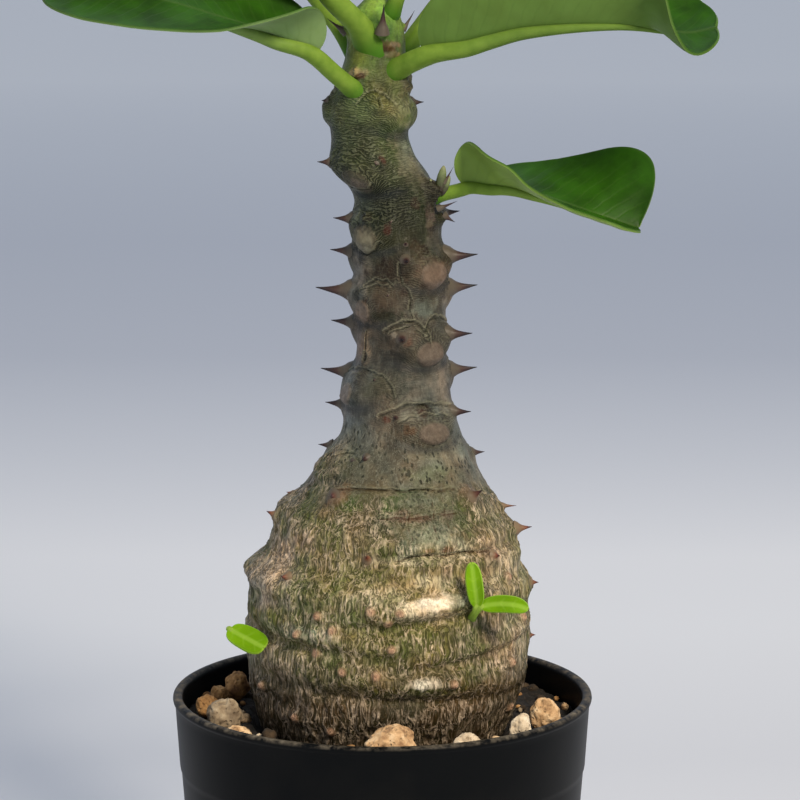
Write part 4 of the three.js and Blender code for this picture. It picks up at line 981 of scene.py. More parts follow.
# Along a horn from its foot to its point: the share of its length, and of its foot's radius.
SPINE_OUTLINE = [(-0.25, 0), (-0.25, 1.3), (0, 1), (0.08, 0.82), (0.16, 0.67), (0.26, 0.53),
                 (0.38, 0.41), (0.5, 0.32), (0.62, 0.24), (0.74, 0.165), (0.86, 0.1),
                 (0.95, 0.06), (1, 0.03), (1, 0)]
# A bud scale is blunter than a spine: it is widest near its middle.
SCALE_OUTLINE = [(-0.1, 0), (0, 0.55), (0.12, 0.78), (0.28, 0.95), (0.46, 1), (0.64, 0.92),
                 (0.8, 0.72), (0.91, 0.48), (0.98, 0.22), (1, 0)]


def unit_horn(name, outline):
    """A horn along X whose length and foot's radius are both one."""
    along, width = np.array(outline, float).T
    turns = np.arange(HORN_SIDES) * 2 * np.pi / HORN_SIDES
    points = np.stack([
        np.repeat(along[:, None], HORN_SIDES, axis=1),
        width[:, None] * np.cos(turns)[None, :],
        width[:, None] * np.sin(turns)[None, :],
    ], axis=-1)
    share = np.repeat(np.clip(along, 0, 1)[:, None], HORN_SIDES, axis=1)
    return rolled_skin(name, points, {"along": share})


unit_spine = unit_horn("unit_spine", SPINE_OUTLINE)
unit_scale = unit_horn("unit_scale", SCALE_OUTLINE)
print("unit horns:", len(unit_spine.data.vertices), "and", len(unit_scale.data.vertices), "points")

# %% [markdown]
# Each copy's foot is sunk in the bark, so that no gap shows, and its mesh is turned by a matrix
# whose columns are the horn's length, its width, its thickness and its place.

# %% Spines and bud scales
HORN_SUNK = 0.25               # millimetres that a horn's foot is sunk in the bark
CORK_DEPTH = 1.0               # and how much more of a spine the caudex's thick cork buries


def horn_copy(root, ahead, length, base, flat=1.0, bend=0.012, unit=unit_spine):
    """A copy of a unit horn from a place in a direction. It bends upward as it gets longer."""
    ahead = Vector(ahead).normalized()
    side = ahead.cross(Vector((0, 0, 1))).normalized()
    above = side.cross(ahead)
    root = Vector(root) - ahead * HORN_SUNK
    place = Matrix([(ahead[i] * length, side[i] * base, above[i] * base * flat, root[i])
                    for i in range(3)] + [(0, 0, 0, 1)])
    made = unit.copy()
    made.data = unit.data.copy()
    bpy.context.collection.objects.link(made)
    for point in made.data.vertices:
        along = max(0, point.co.x) * length
        point.co = (place @ point.co + Vector((0, 0, bend * along ** 2))) * MM
    return made


def spine_copy(height, angle, length, base, lift):
    """A spine at a height and direction on the bark."""
    bark_height, bark_angle = np.array([[height]]), np.array([[angle]], float)
    radius = trunk_relief(bark_height, bark_angle)[0]
    root = bark_points(bark_height, bark_angle, radius)[0, 0]
    around, tilt = math.radians(angle), math.radians(lift)
    ahead = (math.cos(around) * math.cos(tilt), math.sin(around) * math.cos(tilt), math.sin(tilt))
    reach = length - (radius[0, 0] - read_table(TRUNK_OUTLINE, np.array([height]), 2)[0])
    return horn_copy(root, ahead, reach, base)


# The side shoot's bud: place, direction, length, foot's radius, and for a scale its flatness.
SHOOT_SPINES = [
    ((13.4, -4.6, 195.6), (0.5, -0.1, 0.85), 3.2, 0.4),
    ((12.6, -5, 189.8), (0.9, -0.2, 0.35), 3.6, 0.6),
]
BUD_SCALES = [
    ((11.8, -4.4, 192.8), (0.2, 0, 0.95), 5.6, 0.7, 1.5),
    ((12.6, -4.2, 192.6), (0.4, 0, 0.9), 4, 0.6, 1.2),
    ((10.4, -4.6, 193), (-0.1, -0.2, 0.95), 3, 0.5, 1.2),
    ((9.6, -5, 192.2), (-0.4, -0.4, 0.8), 2.2, 0.5, 1),
]

spine_list = []
for scar_height, scar_angle, *_, lengths in SCARS:
    for hand, length in zip((-1, 1), lengths):
        if length > 0:
            foot = min(max(0.22 * length + 0.35, 0.55), 2.2)
            spine_list.append((scar_height + SPINE_RISE, scar_angle + hand * SPINE_SPREAD,
                               length, foot, 1))
for spine_height, spine_angle, length, base, lift in LONE_SPINES:
    buried = CORK_DEPTH if spine_height < CREASE_HEIGHT else 0
    spine_list.append((spine_height, spine_angle, length + buried, 0.5 * base, lift))
spines = join([spine_copy(*spine) for spine in spine_list]
              + [horn_copy(*place) for place in SHOOT_SPINES], "spines")
bud_scales = join([horn_copy(*place, unit=unit_scale) for place in BUD_SCALES], "bud_scales")
bpy.data.objects.remove(unit_spine)
bpy.data.objects.remove(unit_scale)
print("spines:", len(spine_list) + len(SHOOT_SPINES), "and bud scales:", len(BUD_SCALES))

# %% [markdown]
# Bark is dead cork over live green tissue. On the caudex the cork has split into pale upright
# fibres with dark gaps between them. On the stem it is a thin waxy skin, drawn with growth lines
# that run round the scars. One material makes both, because the one passes into the other: the
# masks say how much of each there is.

# %% Bark: colour and patterns
def drifted(tree, place, scale, amount):
    """Coordinates that wander, so that a pattern's lines aren't straight."""
    drift = add_node(tree, "TexNoise", {"Vector": place, "Scale": scale, "Detail": 2.0})
    centred = add_node(tree, "VectorMath", [drift.outputs["Color"], (0.5, 0.5, 0.5)],
                       operation="SUBTRACT")
    scaled = add_node(tree, "VectorMath", {0: centred, "Scale": amount}, operation="SCALE")
    return add_node(tree, "VectorMath", [place, scaled], operation="ADD")


def isoline(tree, value, width, middle=0.5):
    """1 where a noise passes a middle value, which draws winding threads, and 0 away from it."""
    away = add_node(tree, "Math", [value, middle], operation="SUBTRACT")
    away = add_node(tree, "Math", [away], operation="ABSOLUTE")
    return add_node(tree, "MapRange", [away, width, width * 0.25])


bark, tree, shader = new_material("corky_waxed_bark", IOR=1.45, Specular_IOR_Level=0.18)
place = add_node(tree, "TexCoord").outputs["Object"]
mask = {name: add_node(tree, "Attribute", attribute_name=name).outputs["Fac"]
        for name in (*FEATURES, "red", "green", "blue")}
painted = add_node(tree, "CombineColor", [mask["red"], mask["green"], mask["blue"]])
mottle = add_node(tree, "TexNoise", {"Vector": place, "Scale": 700.0, "Detail": 5.0,
                                     "Roughness": 0.7})
blotch = add_node(tree, "TexNoise", {"Vector": place, "Scale": 240.0, "Detail": 3.0,
                                     "Roughness": 0.6})
fine_light = add_node(tree, "MapRange", [mottle, 0.25, 0.75, 0.5, 1.2])
broad_light = add_node(tree, "MapRange", [blotch, 0.3, 0.7, 0.72, 1.18])
light = add_node(tree, "Math", [fine_light, broad_light], operation="MULTIPLY")
skin_colour = add_node(tree, "VectorMath", {0: painted, "Scale": light}, operation="SCALE")
print("bark:", len(mask), "masks")

# %% [markdown]
# The stem's waxy skin is drawn with growth lines, which run level and bend round every scar. The
# running number on the points rises evenly up the stem and over each scar, so a sine wave of it
# has a crest at each line. They lie a little over half a millimetre apart.

# %% Bark: growth lines
LINE_STEP = 0.58               # millimetres
swerve_place = add_node(tree, "Mapping", {"Vector": place, "Scale": (0.45, 0.45, 0.9)})
swerve = add_node(tree, "TexNoise", {"Vector": swerve_place, "Scale": 1050.0, "Detail": 2.0})
swerve = add_node(tree, "MapRange", [swerve, 0.2, 0.8, -1.05, 1.05])
lines = add_node(tree, "Math", [mask["grain"], LINE_STEP], operation="DIVIDE")
lines = add_node(tree, "Math", [lines, swerve], operation="ADD")
wave = add_node(tree, "Math", [lines, 2 * math.pi], operation="MULTIPLY")
wave = add_node(tree, "Math", [wave], operation="SINE")
broken = add_node(tree, "MapRange", [blotch, 0.36, 0.5, 0.35, 1.0])
broken = add_node(tree, "Math", [mask["lined"], broken], operation="MULTIPLY")
crest = add_node(tree, "MapRange", [wave, 0.1, 0.8])
crest = add_node(tree, "Math", [crest, broken], operation="MULTIPLY")
furrow = add_node(tree, "MapRange", [wave, -0.1, -0.8])
furrow = add_node(tree, "Math", [furrow, mask["lined"]], operation="MULTIPLY")
# Each layer of the bark is a share from 0 to 1 and the colour that is laid over the ones below.
bark_layers = [(add_node(tree, "MapRange", [crest, 0, 1, 0, 0.22]), "#83876a"),
               (add_node(tree, "MapRange", [furrow, 0, 1, 0, 0.4]), "#141a0c")]
print("bark: growth lines every", LINE_STEP, "mm")

# %% [markdown]
# The caudex's fibres are threads that wind upward: coarse ones about 1.5 mm apart, and fine ones
# about half as far. Both patterns are drawn out to six or seven times their width. Between the
# threads are dark gaps, and algae keep the bark green, except near the soil and under wax, where
# gaps and algae are cleared as a painted highlight.

# %% Bark: fibres and algae
winding = drifted(tree, place, 210.0, 0.0022)
thread_place = add_node(tree, "Mapping", {"Vector": winding, "Scale": (1, 1, 0.15)})
thread_noise = add_node(tree, "TexNoise", {"Vector": thread_place, "Scale": 640.0, "Detail": 2.0})
fine_place = add_node(tree, "Mapping", {"Vector": winding, "Scale": (1, 1, 0.14)})
fine_noise = add_node(tree, "TexNoise", {"Vector": fine_place, "Scale": 1350.0, "Detail": 2.0})
frayed_place = add_node(tree, "Mapping", {"Vector": place, "Scale": (1, 1, 0.5)})
frayed = add_node(tree, "TexNoise", {"Vector": frayed_place, "Scale": 1500.0, "Detail": 3.0})
frayed = add_node(tree, "MapRange", [frayed, 0.4, 0.56, 0.3, 1])
cover = add_node(tree, "MapRange", [blotch, 0.4, 0.6, 0.22, 1.0])
cover = add_node(tree, "Math", [cover, frayed], operation="MULTIPLY")
fine_thread = isoline(tree, fine_noise, 0.055)
fine_thread = add_node(tree, "Math", [fine_thread, 0.7], operation="MULTIPLY")
threads = isoline(tree, thread_noise, 0.05)
threads = add_node(tree, "Math", [threads, fine_thread], operation="MAXIMUM")
threads = add_node(tree, "Math", [threads, cover], operation="MULTIPLY")
threads = add_node(tree, "Math", [threads, mask["fibre"]], operation="MULTIPLY")
# Under wax the dark gaps and algae are cleared, which paints the highlight pale.
off_wax_and_highlight = add_node(tree, "Math", [mask["wax_and_highlight"], 0.72], operation="MULTIPLY")
off_wax_and_highlight = add_node(tree, "Math", [1.0, off_wax_and_highlight], operation="SUBTRACT")
fibre_off_highlight = add_node(tree, "Math", [mask["fibre"], off_wax_and_highlight], operation="MULTIPLY")
gap = isoline(tree, thread_noise, 0.05, 0.4)
for more in (isoline(tree, thread_noise, 0.05, 0.6), isoline(tree, fine_noise, 0.05, 0.4)):
    gap = add_node(tree, "Math", [gap, more], operation="MAXIMUM")
gap = add_node(tree, "Math", [gap, fibre_off_highlight], operation="MULTIPLY")
above_soil = add_node(tree, "MapRange", [mask["grain"], 88, 98])
algae = add_node(tree, "TexNoise", {"Vector": place, "Scale": 130.0, "Detail": 3.0})
algae = add_node(tree, "MapRange", [algae, 0.45, 0.6, 0.15, 0.85])
for share in (mask["fibre"], above_soil, off_wax_and_highlight):
    algae = add_node(tree, "Math", [algae, share], operation="MULTIPLY")
pale_cork = add_node(tree, "Mix", {"Factor": 0.55, "A": painted, "B": "#f6dec2"},
                     data_type="RGBA")
for share, strength, tone in ((algae, 0.74, "#46581a"), (gap, 0.66, "#26240f"),
                              (threads, 0.86, pale_cork)):
    bark_layers.append((add_node(tree, "Math", [share, strength], operation="MULTIPLY"), tone))
print("bark: fibres over gaps and algae")

# %% [markdown]
# Above the fibres the skin has pale scratches, and short upright slits where it has begun to
# split. The slits are a Voronoi pattern's cell centres, drawn out upward.

# %% Bark: scratches and slits
smooth_skin = add_node(tree, "Math", [1.0, mask["fibre"]], operation="SUBTRACT")
scratch = isoline(tree, fine_noise, 0.03)
for share in (smooth_skin, add_node(tree, "MapRange", [mask["grain"], 152, 142, 0.3])):
    scratch = add_node(tree, "Math", [scratch, share], operation="MULTIPLY")
slit_place = drifted(tree, place, 300.0, 0.0016)
slit_place = add_node(tree, "Mapping", {"Vector": slit_place, "Scale": (1, 1, 0.36)})
slit = add_node(tree, "TexVoronoi", {"Vector": slit_place, "Scale": 1150.0})
slit = add_node(tree, "MapRange", [slit, 0.36, 0.22])
for share in (mask["dashed"], add_node(tree, "MapRange", [blotch, 0.38, 0.5, 0.15, 1])):
    slit = add_node(tree, "Math", [slit, share], operation="MULTIPLY")
for share, strength, tone in ((scratch, 0.22, "#9a9c8c"), (slit, 0.8, "#23261a")):
    bark_layers.append((add_node(tree, "Math", [share, strength], operation="MULTIPLY"), tone))
print("bark: scratches and slits")

# %% [markdown]
# Last come the marks that the relief has: the dead cork of scars and knobs, the shade under a
# mound, the painted shadow ring round a knob, the pale lip of a fold and its dark crease. Folds
# are brown in the caudex's cork and greenish black in the stem's living skin.

# %% Bark: marks
scar_tone = add_node(tree, "ValToRGB", [mottle],
                     [(0.3, "#55483e"), (0.5, "#66584c"), (0.7, "#7a6b5e")])
knob_tone = add_node(tree, "ValToRGB", [mottle], [(0.3, "#8e5f45"), (0.6, "#d2ab8c")])
on_stem = add_node(tree, "MapRange", [mask["grain"], 131, 136])
fold_tone = add_node(tree, "Mix", {"Factor": on_stem, "A": "#3c2817", "B": "#1b2015"},
                     data_type="RGBA")
bark_layers += [(add_node(tree, "Math", [mask["scar"], 0.6], operation="MULTIPLY"), scar_tone),
                (add_node(tree, "MapRange", [mask["knob"], 0.15, 0.8, 0, 0.8]), knob_tone),
                (add_node(tree, "MapRange", [mask["under"], 0, 1, 0, 0.55]), "#22262a"),
                (add_node(tree, "MapRange", [mask["lip"], 0.2, 0.9, 0, 0.35]), "#8a8971"),
                # The fold mask also holds the painted shadow ring round each knob.
                (add_node(tree, "MapRange", [mask["fold"], 0.15, 0.9, 0, 0.7]), fold_tone)]
for share, tone in bark_layers:
    skin_colour = add_node(tree, "Mix", {"Factor": share, "A": skin_colour, "B": tone},
                           data_type="RGBA")
print("bark:", len(bark_layers), "layers of colour")

# %% [markdown]
# Wax makes the bark a little glossier. The bump raises the threads and the growth lines' crests,
# and sinks the gaps and slits, by a few tenths of a millimetre at most.

# %% Bark: gloss and bump
gloss = add_node(tree, "Math", [mask["wax_and_highlight"], 0.2], operation="MULTIPLY")
rough = add_node(tree, "MapRange", [mottle, 0.3, 0.7, 0.55, 0.38])
rough = add_node(tree, "Math", [rough, gloss], operation="SUBTRACT")
raised = add_node(tree, "Math", [threads, 0.9], operation="MULTIPLY")
line_rise = add_node(tree, "Math", [crest, furrow], operation="SUBTRACT")
line_rise = add_node(tree, "Math", [line_rise, 0.28], operation="MULTIPLY")
mottle_rise = add_node(tree, "Math", [mottle, 0.6], operation="MULTIPLY")
for more in (line_rise, mottle_rise):
    raised = add_node(tree, "Math", [raised, more], operation="ADD")
sunk = add_node(tree, "Math", [gap, slit], operation="ADD")
sunk = add_node(tree, "Math", [sunk, 0.5], operation="MULTIPLY")
raised = add_node(tree, "Math", [raised, sunk], operation="SUBTRACT")
bump = add_node(tree, "Bump", {"Height": raised, "Strength": 0.9, "Distance": 0.3 * MM})
fill_inputs(shader, {"Base Color": skin_colour, "Roughness": rough, "Normal": bump})
finish_piece(caudex, bark, "bark", "trunk")
finish_piece(stem, bark, "bark", "trunk")

# %% [markdown]
# A spine's horn is hard dead tissue, half glossy, grey-brown at its foot and nearly black at its
# point. The old spines low on the caudex have bleached to a red brown.

# %% Horn of the spines
spine_horn, tree, shader = new_material("spine_horn", Roughness=0.5, IOR=1.5,
                                        Specular_IOR_Level=0.3)
place = add_node(tree, "TexCoord").outputs["Object"]
height = add_node(tree, "SeparateXYZ", [place]).outputs["Z"]
mottle = add_node(tree, "TexNoise", {"Vector": place, "Scale": 500.0, "Detail": 3.0})
mottle = add_node(tree, "MapRange", [mottle, 0.3, 0.7, -0.1, 0.1])
along = add_node(tree, "Attribute", attribute_name="along").outputs["Fac"]
along = add_node(tree, "Math", [along, mottle], operation="ADD")
horn = add_node(tree, "ValToRGB", [along],
                [(0.02, "#4f483d"), (0.2, "#493f36"), (0.36, "#3d2b27"), (0.6, "#2e1f20"),
                 (0.85, "#1e1a1d"), (1.0, "#121215")])
low_horn = add_node(tree, "ValToRGB", [along],
                    [(0.02, "#75634c"), (0.3, "#74523c"), (0.55, "#6c3a2b"), (0.85, "#33191a")])
is_low = add_node(tree, "MapRange", [height, 0.133, 0.128])
horn = add_node(tree, "Mix", {"Factor": is_low, "A": horn, "B": low_horn}, data_type="RGBA")
fill_inputs(shader, {"Base Color": horn})
finish_piece(spines, spine_horn, "bark", "trunk")

# %% [markdown]
# The shoot's bud is wrapped in a few scales, flat and blunt, green where they still live and
# brown at the foot, where they have dried.

# %% Bud scales
dry_scale, tree, shader = new_material("drying_bud_scale", Roughness=0.6)
place = add_node(tree, "TexCoord").outputs["Object"]
mottle = add_node(tree, "TexNoise", {"Vector": place, "Scale": 900.0, "Detail": 3.0})
mottle = add_node(tree, "MapRange", [mottle, 0.3, 0.7, -0.15, 0.15])
along = add_node(tree, "Attribute", attribute_name="along").outputs["Fac"]
along = add_node(tree, "Math", [along, mottle], operation="ADD")
scale_tone = add_node(tree, "ValToRGB", [along],
                      [(0.2, "#2b2217"), (0.42, "#414a2a"), (0.7, "#5f6c42"), (0.95, "#737852")])
fill_inputs(shader, {"Base Color": scale_tone})
finish_piece(bud_scales, dry_scale, "bark", "trunk")

# %% [markdown]
# ## Soil
#
# The pot is filled with dark fines, and grains of pumice, fired clay and bark lie on them. The
# fines are one skin rolled round the pot's axis: it runs up the pot's wall, over the crumbly top
# and down the caudex's side. A grain starts as Blender's icosphere, which noise makes lumpy and
# pitted, and each has noise of its own, so that no two are alike.

# %% Fines
GAP = 0.3                      # between the substrate and the pot's wall
ROOT_GAP = 0.65                # and between it and the root
FINES_FOOT = 2.0
FINES_TOP = 79.2
ROOT_FOOT = 38.0
AXIS_ROOM = 0.5                # radius of the smallest ring, which a single point closes
FINES_COLUMNS = 360
TOP_RINGS = 60


def root_clear(height):
    """The radius of the hole for the root at a height."""
    return read_table(TRUNK_OUTLINE, np.array([height], float), 2)[0] + ROOT_GAP


def fines_drop(x):
    """How much lower the fines lie towards the right-hand side."""
    return 0.9 * smoothstep(10, 40, x)


wall_edge = pot_inside(SOIL_LEVEL) - GAP
top_edge = root_clear(SOIL_LEVEL) + 1.2
fines_profile = [(AXIS_ROOM, FINES_FOOT), (pot_inside(FINES_FOOT) - 1.7, FINES_FOOT)]
fines_profile += [(pot_inside(h) - GAP, h) for h in (3.2, 20, 40, 60, 74, 78)]
fines_profile += [(wall_edge + (top_edge - wall_edge) * i / TOP_RINGS, FINES_TOP)
                  for i in range(TOP_RINGS + 1)]
fines_profile += [(root_clear(h), h) for h in (76, 62, 46, ROOT_FOOT)] + [(AXIS_ROOM, ROOT_FOOT)]
profile = np.array(fines_profile, float)
turns = np.arange(FINES_COLUMNS) * 2 * np.pi / FINES_COLUMNS
fines_points = np.stack([
    profile[:, :1] * np.cos(turns)[None, :],
    profile[:, :1] * np.sin(turns)[None, :],
    np.repeat(profile[:, 1:], FINES_COLUMNS, axis=1),
], axis=-1)
places = fines_points.reshape(-1, 3)
on_top = (np.abs(places[:, 2] - FINES_TOP) < 0.01).astype(float)
clods = 0.5 * noise(places, 2.4, 51) + 0.3 * noise(places, 1.1, 52) + 0.7 * noise(places, 6.0, 53)
places[:, 2] += on_top * (clods - fines_drop(places[:, 0]))
fines_points = places.reshape(fines_points.shape)
fines_points = np.concatenate([fines_points[:1] * (0, 0, 1), fines_points,
                               fines_points[-1:] * (0, 0, 1)])
fines = rolled_skin("fines", fines_points * MM)
print("fines:", len(fines.data.vertices), "points")

# %% [markdown]
# Damp peat and sand are matt and nearly black, with pale crumbs a millimetre across that catch
# the light.

# %% Fines material
dark_fines, tree, shader = new_material("damp_peat_and_sand_fines", Roughness=0.95)
place = add_node(tree, "TexCoord").outputs["Object"]
crumb = add_node(tree, "TexNoise", {"Vector": place, "Scale": 900.0, "Detail": 6.0,
                                    "Roughness": 0.75})
crumb_tone = add_node(tree, "ValToRGB", [crumb],
                      [(0.3, "#0a0806"), (0.5, "#19140f"), (0.62, "#33291e"), (0.75, "#6b5a40")])
bump = add_node(tree, "Bump", {"Height": crumb, "Strength": 1.0, "Distance": 0.8 * MM})
fill_inputs(shader, {"Base Color": crumb_tone, "Normal": bump})
finish_piece(fines, dark_fines, "substrate", "soil")

# %% [markdown]
# The large grains in the picture are placed one by one. Small ones fall round them at random,
# each where it touches no other by more than a little, and sink partly into the fines.

# %% Grains
# x, y, z, width, depth, height, kind
GRAINS = [
    (-33.2, -13, 82.9, 8.4, 7.6, 8.4, "ash"), (-37.6, -3, 82.2, 5.2, 5, 6.2, "clay"),
    (-35.5, 6, 81.8, 4.8, 4.6, 5.6, "clay"), (-32, 12, 82.6, 5.8, 5.4, 7.2, "clay"),
    (-30, -24, 81.6, 7.2, 6, 5.2, "pumice"), (2.1, -36, 82.9, 11, 8.6, 8.6, "pumice"),
    (17.5, -33.4, 82, 6.4, 5.6, 6.4, "lime"), (29, -20.5, 82.2, 5.4, 5.2, 6.8, "lime"),
    (34.3, -12, 82.6, 7.2, 6.6, 8, "pumice"),
]
KINDS = {"pumice": 0.1, "clay": 0.3, "bark": 0.5, "lime": 0.7, "ash": 0.9}
WALL_ROOM = pot_inside(82) - GAP
GRAIN_ROOT_GAP = 1.4           # between a grain and the root's outline, so that folds fit too
SMALL_GRAINS = 190
MOST_TRIES = 9000
SMALL_SIZES = [4.2, 3.2, 2.4, 1.6]
SIZE_SHARES = [0.08, 0.2, 0.34, 0.38]
KIND_SHARES = [0.14, 0.18, 0.5, 0.04, 0.14]
MAY_OVERLAP = 0.82             # the share of their radii that two grains keep between them


def one_grain(x, y, z, width, depth, height, kind, detail, seed):
    """A lumpy grain in millimetres. It is pressed clear of the pot's wall and of the root."""
    bpy.ops.mesh.primitive_ico_sphere_add(subdivisions=detail, radius=1)
    made = bpy.context.object
    count = len(made.data.vertices)
    flat = np.zeros(count * 3, np.float32)
    made.data.vertices.foreach_get("co", flat)
    unit = flat.reshape(-1, 3).astype(float)
    around = unit * 1.7 + seed * 7.3
    swell = 1 + 0.2 * noise(around, 1.0, seed) + 0.07 * noise(around, 0.42, seed + 1)
    if detail > 3:
        swell += 0.035 * noise(around, 0.2, seed + 2)
        swell -= 0.05 * smoothstep(0.35, 0.75, noise(around, 0.3, seed + 3))
    half = np.array([width, depth, height]) / 2
    points = unit * (swell / 1.12)[:, None] * half
    spin = seed * 1.7 % 3.14 if detail < 4 else 0.3          # radians
    turned_x = points[:, 0] * math.cos(spin) - points[:, 1] * math.sin(spin)
    turned_y = points[:, 0] * math.sin(spin) + points[:, 1] * math.cos(spin)
    points = np.stack([turned_x + x, turned_y + y, points[:, 2] + z], axis=-1)
    reach = np.hypot(points[:, 0], points[:, 1])
    points[:, :2] *= np.minimum(1, (WALL_ROOM - 0.1) / reach)[:, None]
    reach = np.hypot(points[:, 0], points[:, 1])
    inner = read_table(TRUNK_OUTLINE, points[:, 2], 2) + GRAIN_ROOT_GAP
    points[:, :2] *= np.maximum(1, inner / reach)[:, None]
    made.data.vertices.foreach_set("co", (points * MM).reshape(-1).astype(np.float32))
    for name, number in (("kind", KINDS[kind]), ("tone", seed * 0.377 % 1)):
        attribute = made.data.attributes.new(name, "FLOAT", "POINT")
        attribute.data.foreach_set("value", np.full(count, number, np.float32))
    return made


large = [one_grain(*grain, 5, 11 + i) for i, grain in enumerate(GRAINS)]
taken = [(x, y, max(width, depth) / 2) for x, y, _, width, depth, *_ in GRAINS]
small = []
for _ in range(MOST_TRIES):
    if len(small) == SMALL_GRAINS:
        break
    size = chance.choice(SMALL_SIZES, p=SIZE_SHARES)
    ring = chance.uniform(29.5, WALL_ROOM - size / 2)
    turn = chance.uniform(0, 2 * math.pi)
    x, y = ring * math.cos(turn), ring * math.sin(turn)
    if any(math.hypot(x - a, y - b) < (c + size / 2) * MAY_OVERLAP for a, b, c in taken):
        continue
    taken.append((x, y, size / 2))
    kind = list(KINDS)[chance.choice(len(KINDS), p=KIND_SHARES)]
    z = FINES_TOP - fines_drop(x) + size * chance.uniform(0.12, 0.34)
    depth = size * chance.uniform(0.75, 1)
    height = size * chance.uniform(0.6, 0.9)
    small.append(one_grain(x, y, z, size, depth, height, kind, 3 if size > 3 else 2,
                           30 + len(small)))
grains = join(large + small, "grains")
grains.select_set(True)
bpy.ops.object.shade_smooth_by_angle(angle=math.radians(60))
bpy.ops.object.select_all(action="DESELECT")
print("grains:", len(large), "large and", len(small), "small")

# %% [markdown]
# Pumice is a glass foam, pale and full of pits. Fired clay is brick-brown, bark is dark, lime is
# almost white and ash is grey. All are quite matt. One material serves them all: a number on each
# grain's points says which stone it is, and another shifts its tone a little.

# %% Grain material
STONE_TONES = {
    "pumice": [(0.3, "#94714f"), (0.46, "#cfa97d"), (0.6, "#eccca2"), (0.8, "#f5e2c2")],
    "clay": [(0.3, "#66452a"), (0.5, "#a17748"), (0.7, "#c79b66")],
    "bark": [(0.3, "#15110c"), (0.5, "#2f2519"), (0.7, "#4a3a27")],
    "lime": [(0.3, "#b09c80"), (0.5, "#e0cdb0"), (0.7, "#f3e6cf")],
    "ash": [(0.3, "#6b5b48"), (0.48, "#95836a"), (0.62, "#b8a78c"), (0.8, "#cdbfa6")],
}
grain_stone, tree, shader = new_material("pumice_and_fired_clay_grit", Roughness=0.92)
place = add_node(tree, "TexCoord").outputs["Object"]
mottle = add_node(tree, "TexNoise", {"Vector": place, "Scale": 420.0, "Detail": 6.0,
                                     "Roughness": 0.6})
pits = add_node(tree, "TexVoronoi", {"Vector": drifted(tree, place, 500.0, 0.001), "Scale": 900.0})
pits = add_node(tree, "MapRange", [pits, 0.34, 0.14])
kind_number, tone_number = (add_node(tree, "Attribute", attribute_name=name).outputs["Fac"]
                            for name in ("kind", "tone"))
tone_shift = add_node(tree, "MapRange", [tone_number, 0, 1, -0.06, 0.06])
stone_level = add_node(tree, "Math", [mottle, tone_shift], operation="ADD")
stone = add_node(tree, "ValToRGB", [stone_level], STONE_TONES["pumice"])
for kind, number in list(KINDS.items())[1:]:
    # The numbers of two kinds are 0.2 apart, and the step between their tones is half way.
    from_here = add_node(tree, "MapRange", [kind_number, number - 0.12, number - 0.08])
    tone = add_node(tree, "ValToRGB", [stone_level], STONE_TONES[kind])
    stone = add_node(tree, "Mix", {"Factor": from_here, "A": stone, "B": tone}, data_type="RGBA")
pit_shade = add_node(tree, "Math", [pits, 0.3], operation="MULTIPLY")
stone = add_node(tree, "Mix", {"Factor": pit_shade, "A": stone, "B": "#6b5238"}, data_type="RGBA")
pit_depth = add_node(tree, "Math", [pits, 0.5], operation="MULTIPLY")
relief = add_node(tree, "Math", [mottle, pit_depth], operation="SUBTRACT")
bump = add_node(tree, "Bump", {"Height": relief, "Strength": 0.9, "Distance": 0.5 * MM})
fill_inputs(shader, {"Base Color": stone, "Normal": bump})
finish_piece(grains, grain_stone, "substrate", "soil")

# %% [markdown]
# ## Leaves
#
# A leaf is a blade on a stalk that runs on under it as the rib. The rib is a curve through a few
# points, and a table gives how steeply each half of the blade rises from it. The blade is a grid
# laid along the rib and given its thickness by Solidify. Its UV map is in millimetres, along and
# across the blade, so that the veins can follow it.

# %% Leaf shape
def rib_curve(points, places):
    """Places and directions on a smooth curve through points, at shares of its length."""
    knots = np.array(points, float)
    knots = np.vstack([2 * knots[0] - knots[1], knots, 2 * knots[-1] - knots[-2]])
    path = []
    for a, b, c, d in zip(knots, knots[1:], knots[2:], knots[3:]):
        first, span, last = (math.sqrt(np.linalg.norm(q - p)) for p, q in ((a, b), (b, c), (c, d)))
        start = ((b - a) / first - (c - a) / (first + span) + (c - b) / span) * span
        end = ((c - b) / span - (d - b) / (span + last) + (d - c) / last) * span
        t = np.linspace(0, 1, 40, endpoint=False)[:, None]
        path.append((2 * t ** 3 - 3 * t ** 2 + 1) * b + (t ** 3 - 2 * t ** 2 + t) * start
                    + (3 * t ** 2 - 2 * t ** 3) * c + (t ** 3 - t ** 2) * end)
    path = np.vstack(path + [knots[-2][None, :]])
    steps = np.linalg.norm(np.diff(path, axis=0), axis=1)
    reach = np.concatenate([[0], np.cumsum(steps)])
    wanted = np.clip(places, 0, 1) * reach[-1]
    on_path = np.stack([np.interp(wanted, reach, path[:, i]) for i in range(3)], axis=-1)
    ahead = np.gradient(path, reach, axis=0)
    ahead = np.stack([np.interp(wanted, reach, ahead[:, i]) for i in range(3)], axis=-1)
    return on_path, ahead / np.linalg.norm(ahead, axis=1)[:, None], reach[-1]


def rib_frame(leaf, places):
    """The rib's places, its directions ahead, left and up, and its length."""
    point, ahead, length = rib_curve(leaf["rib"], places)
    left = np.cross(np.array(leaf["facing"], float), ahead)
    left /= np.linalg.norm(left, axis=1)[:, None]
    above = np.cross(ahead, left)
    return point, ahead, left, above, length


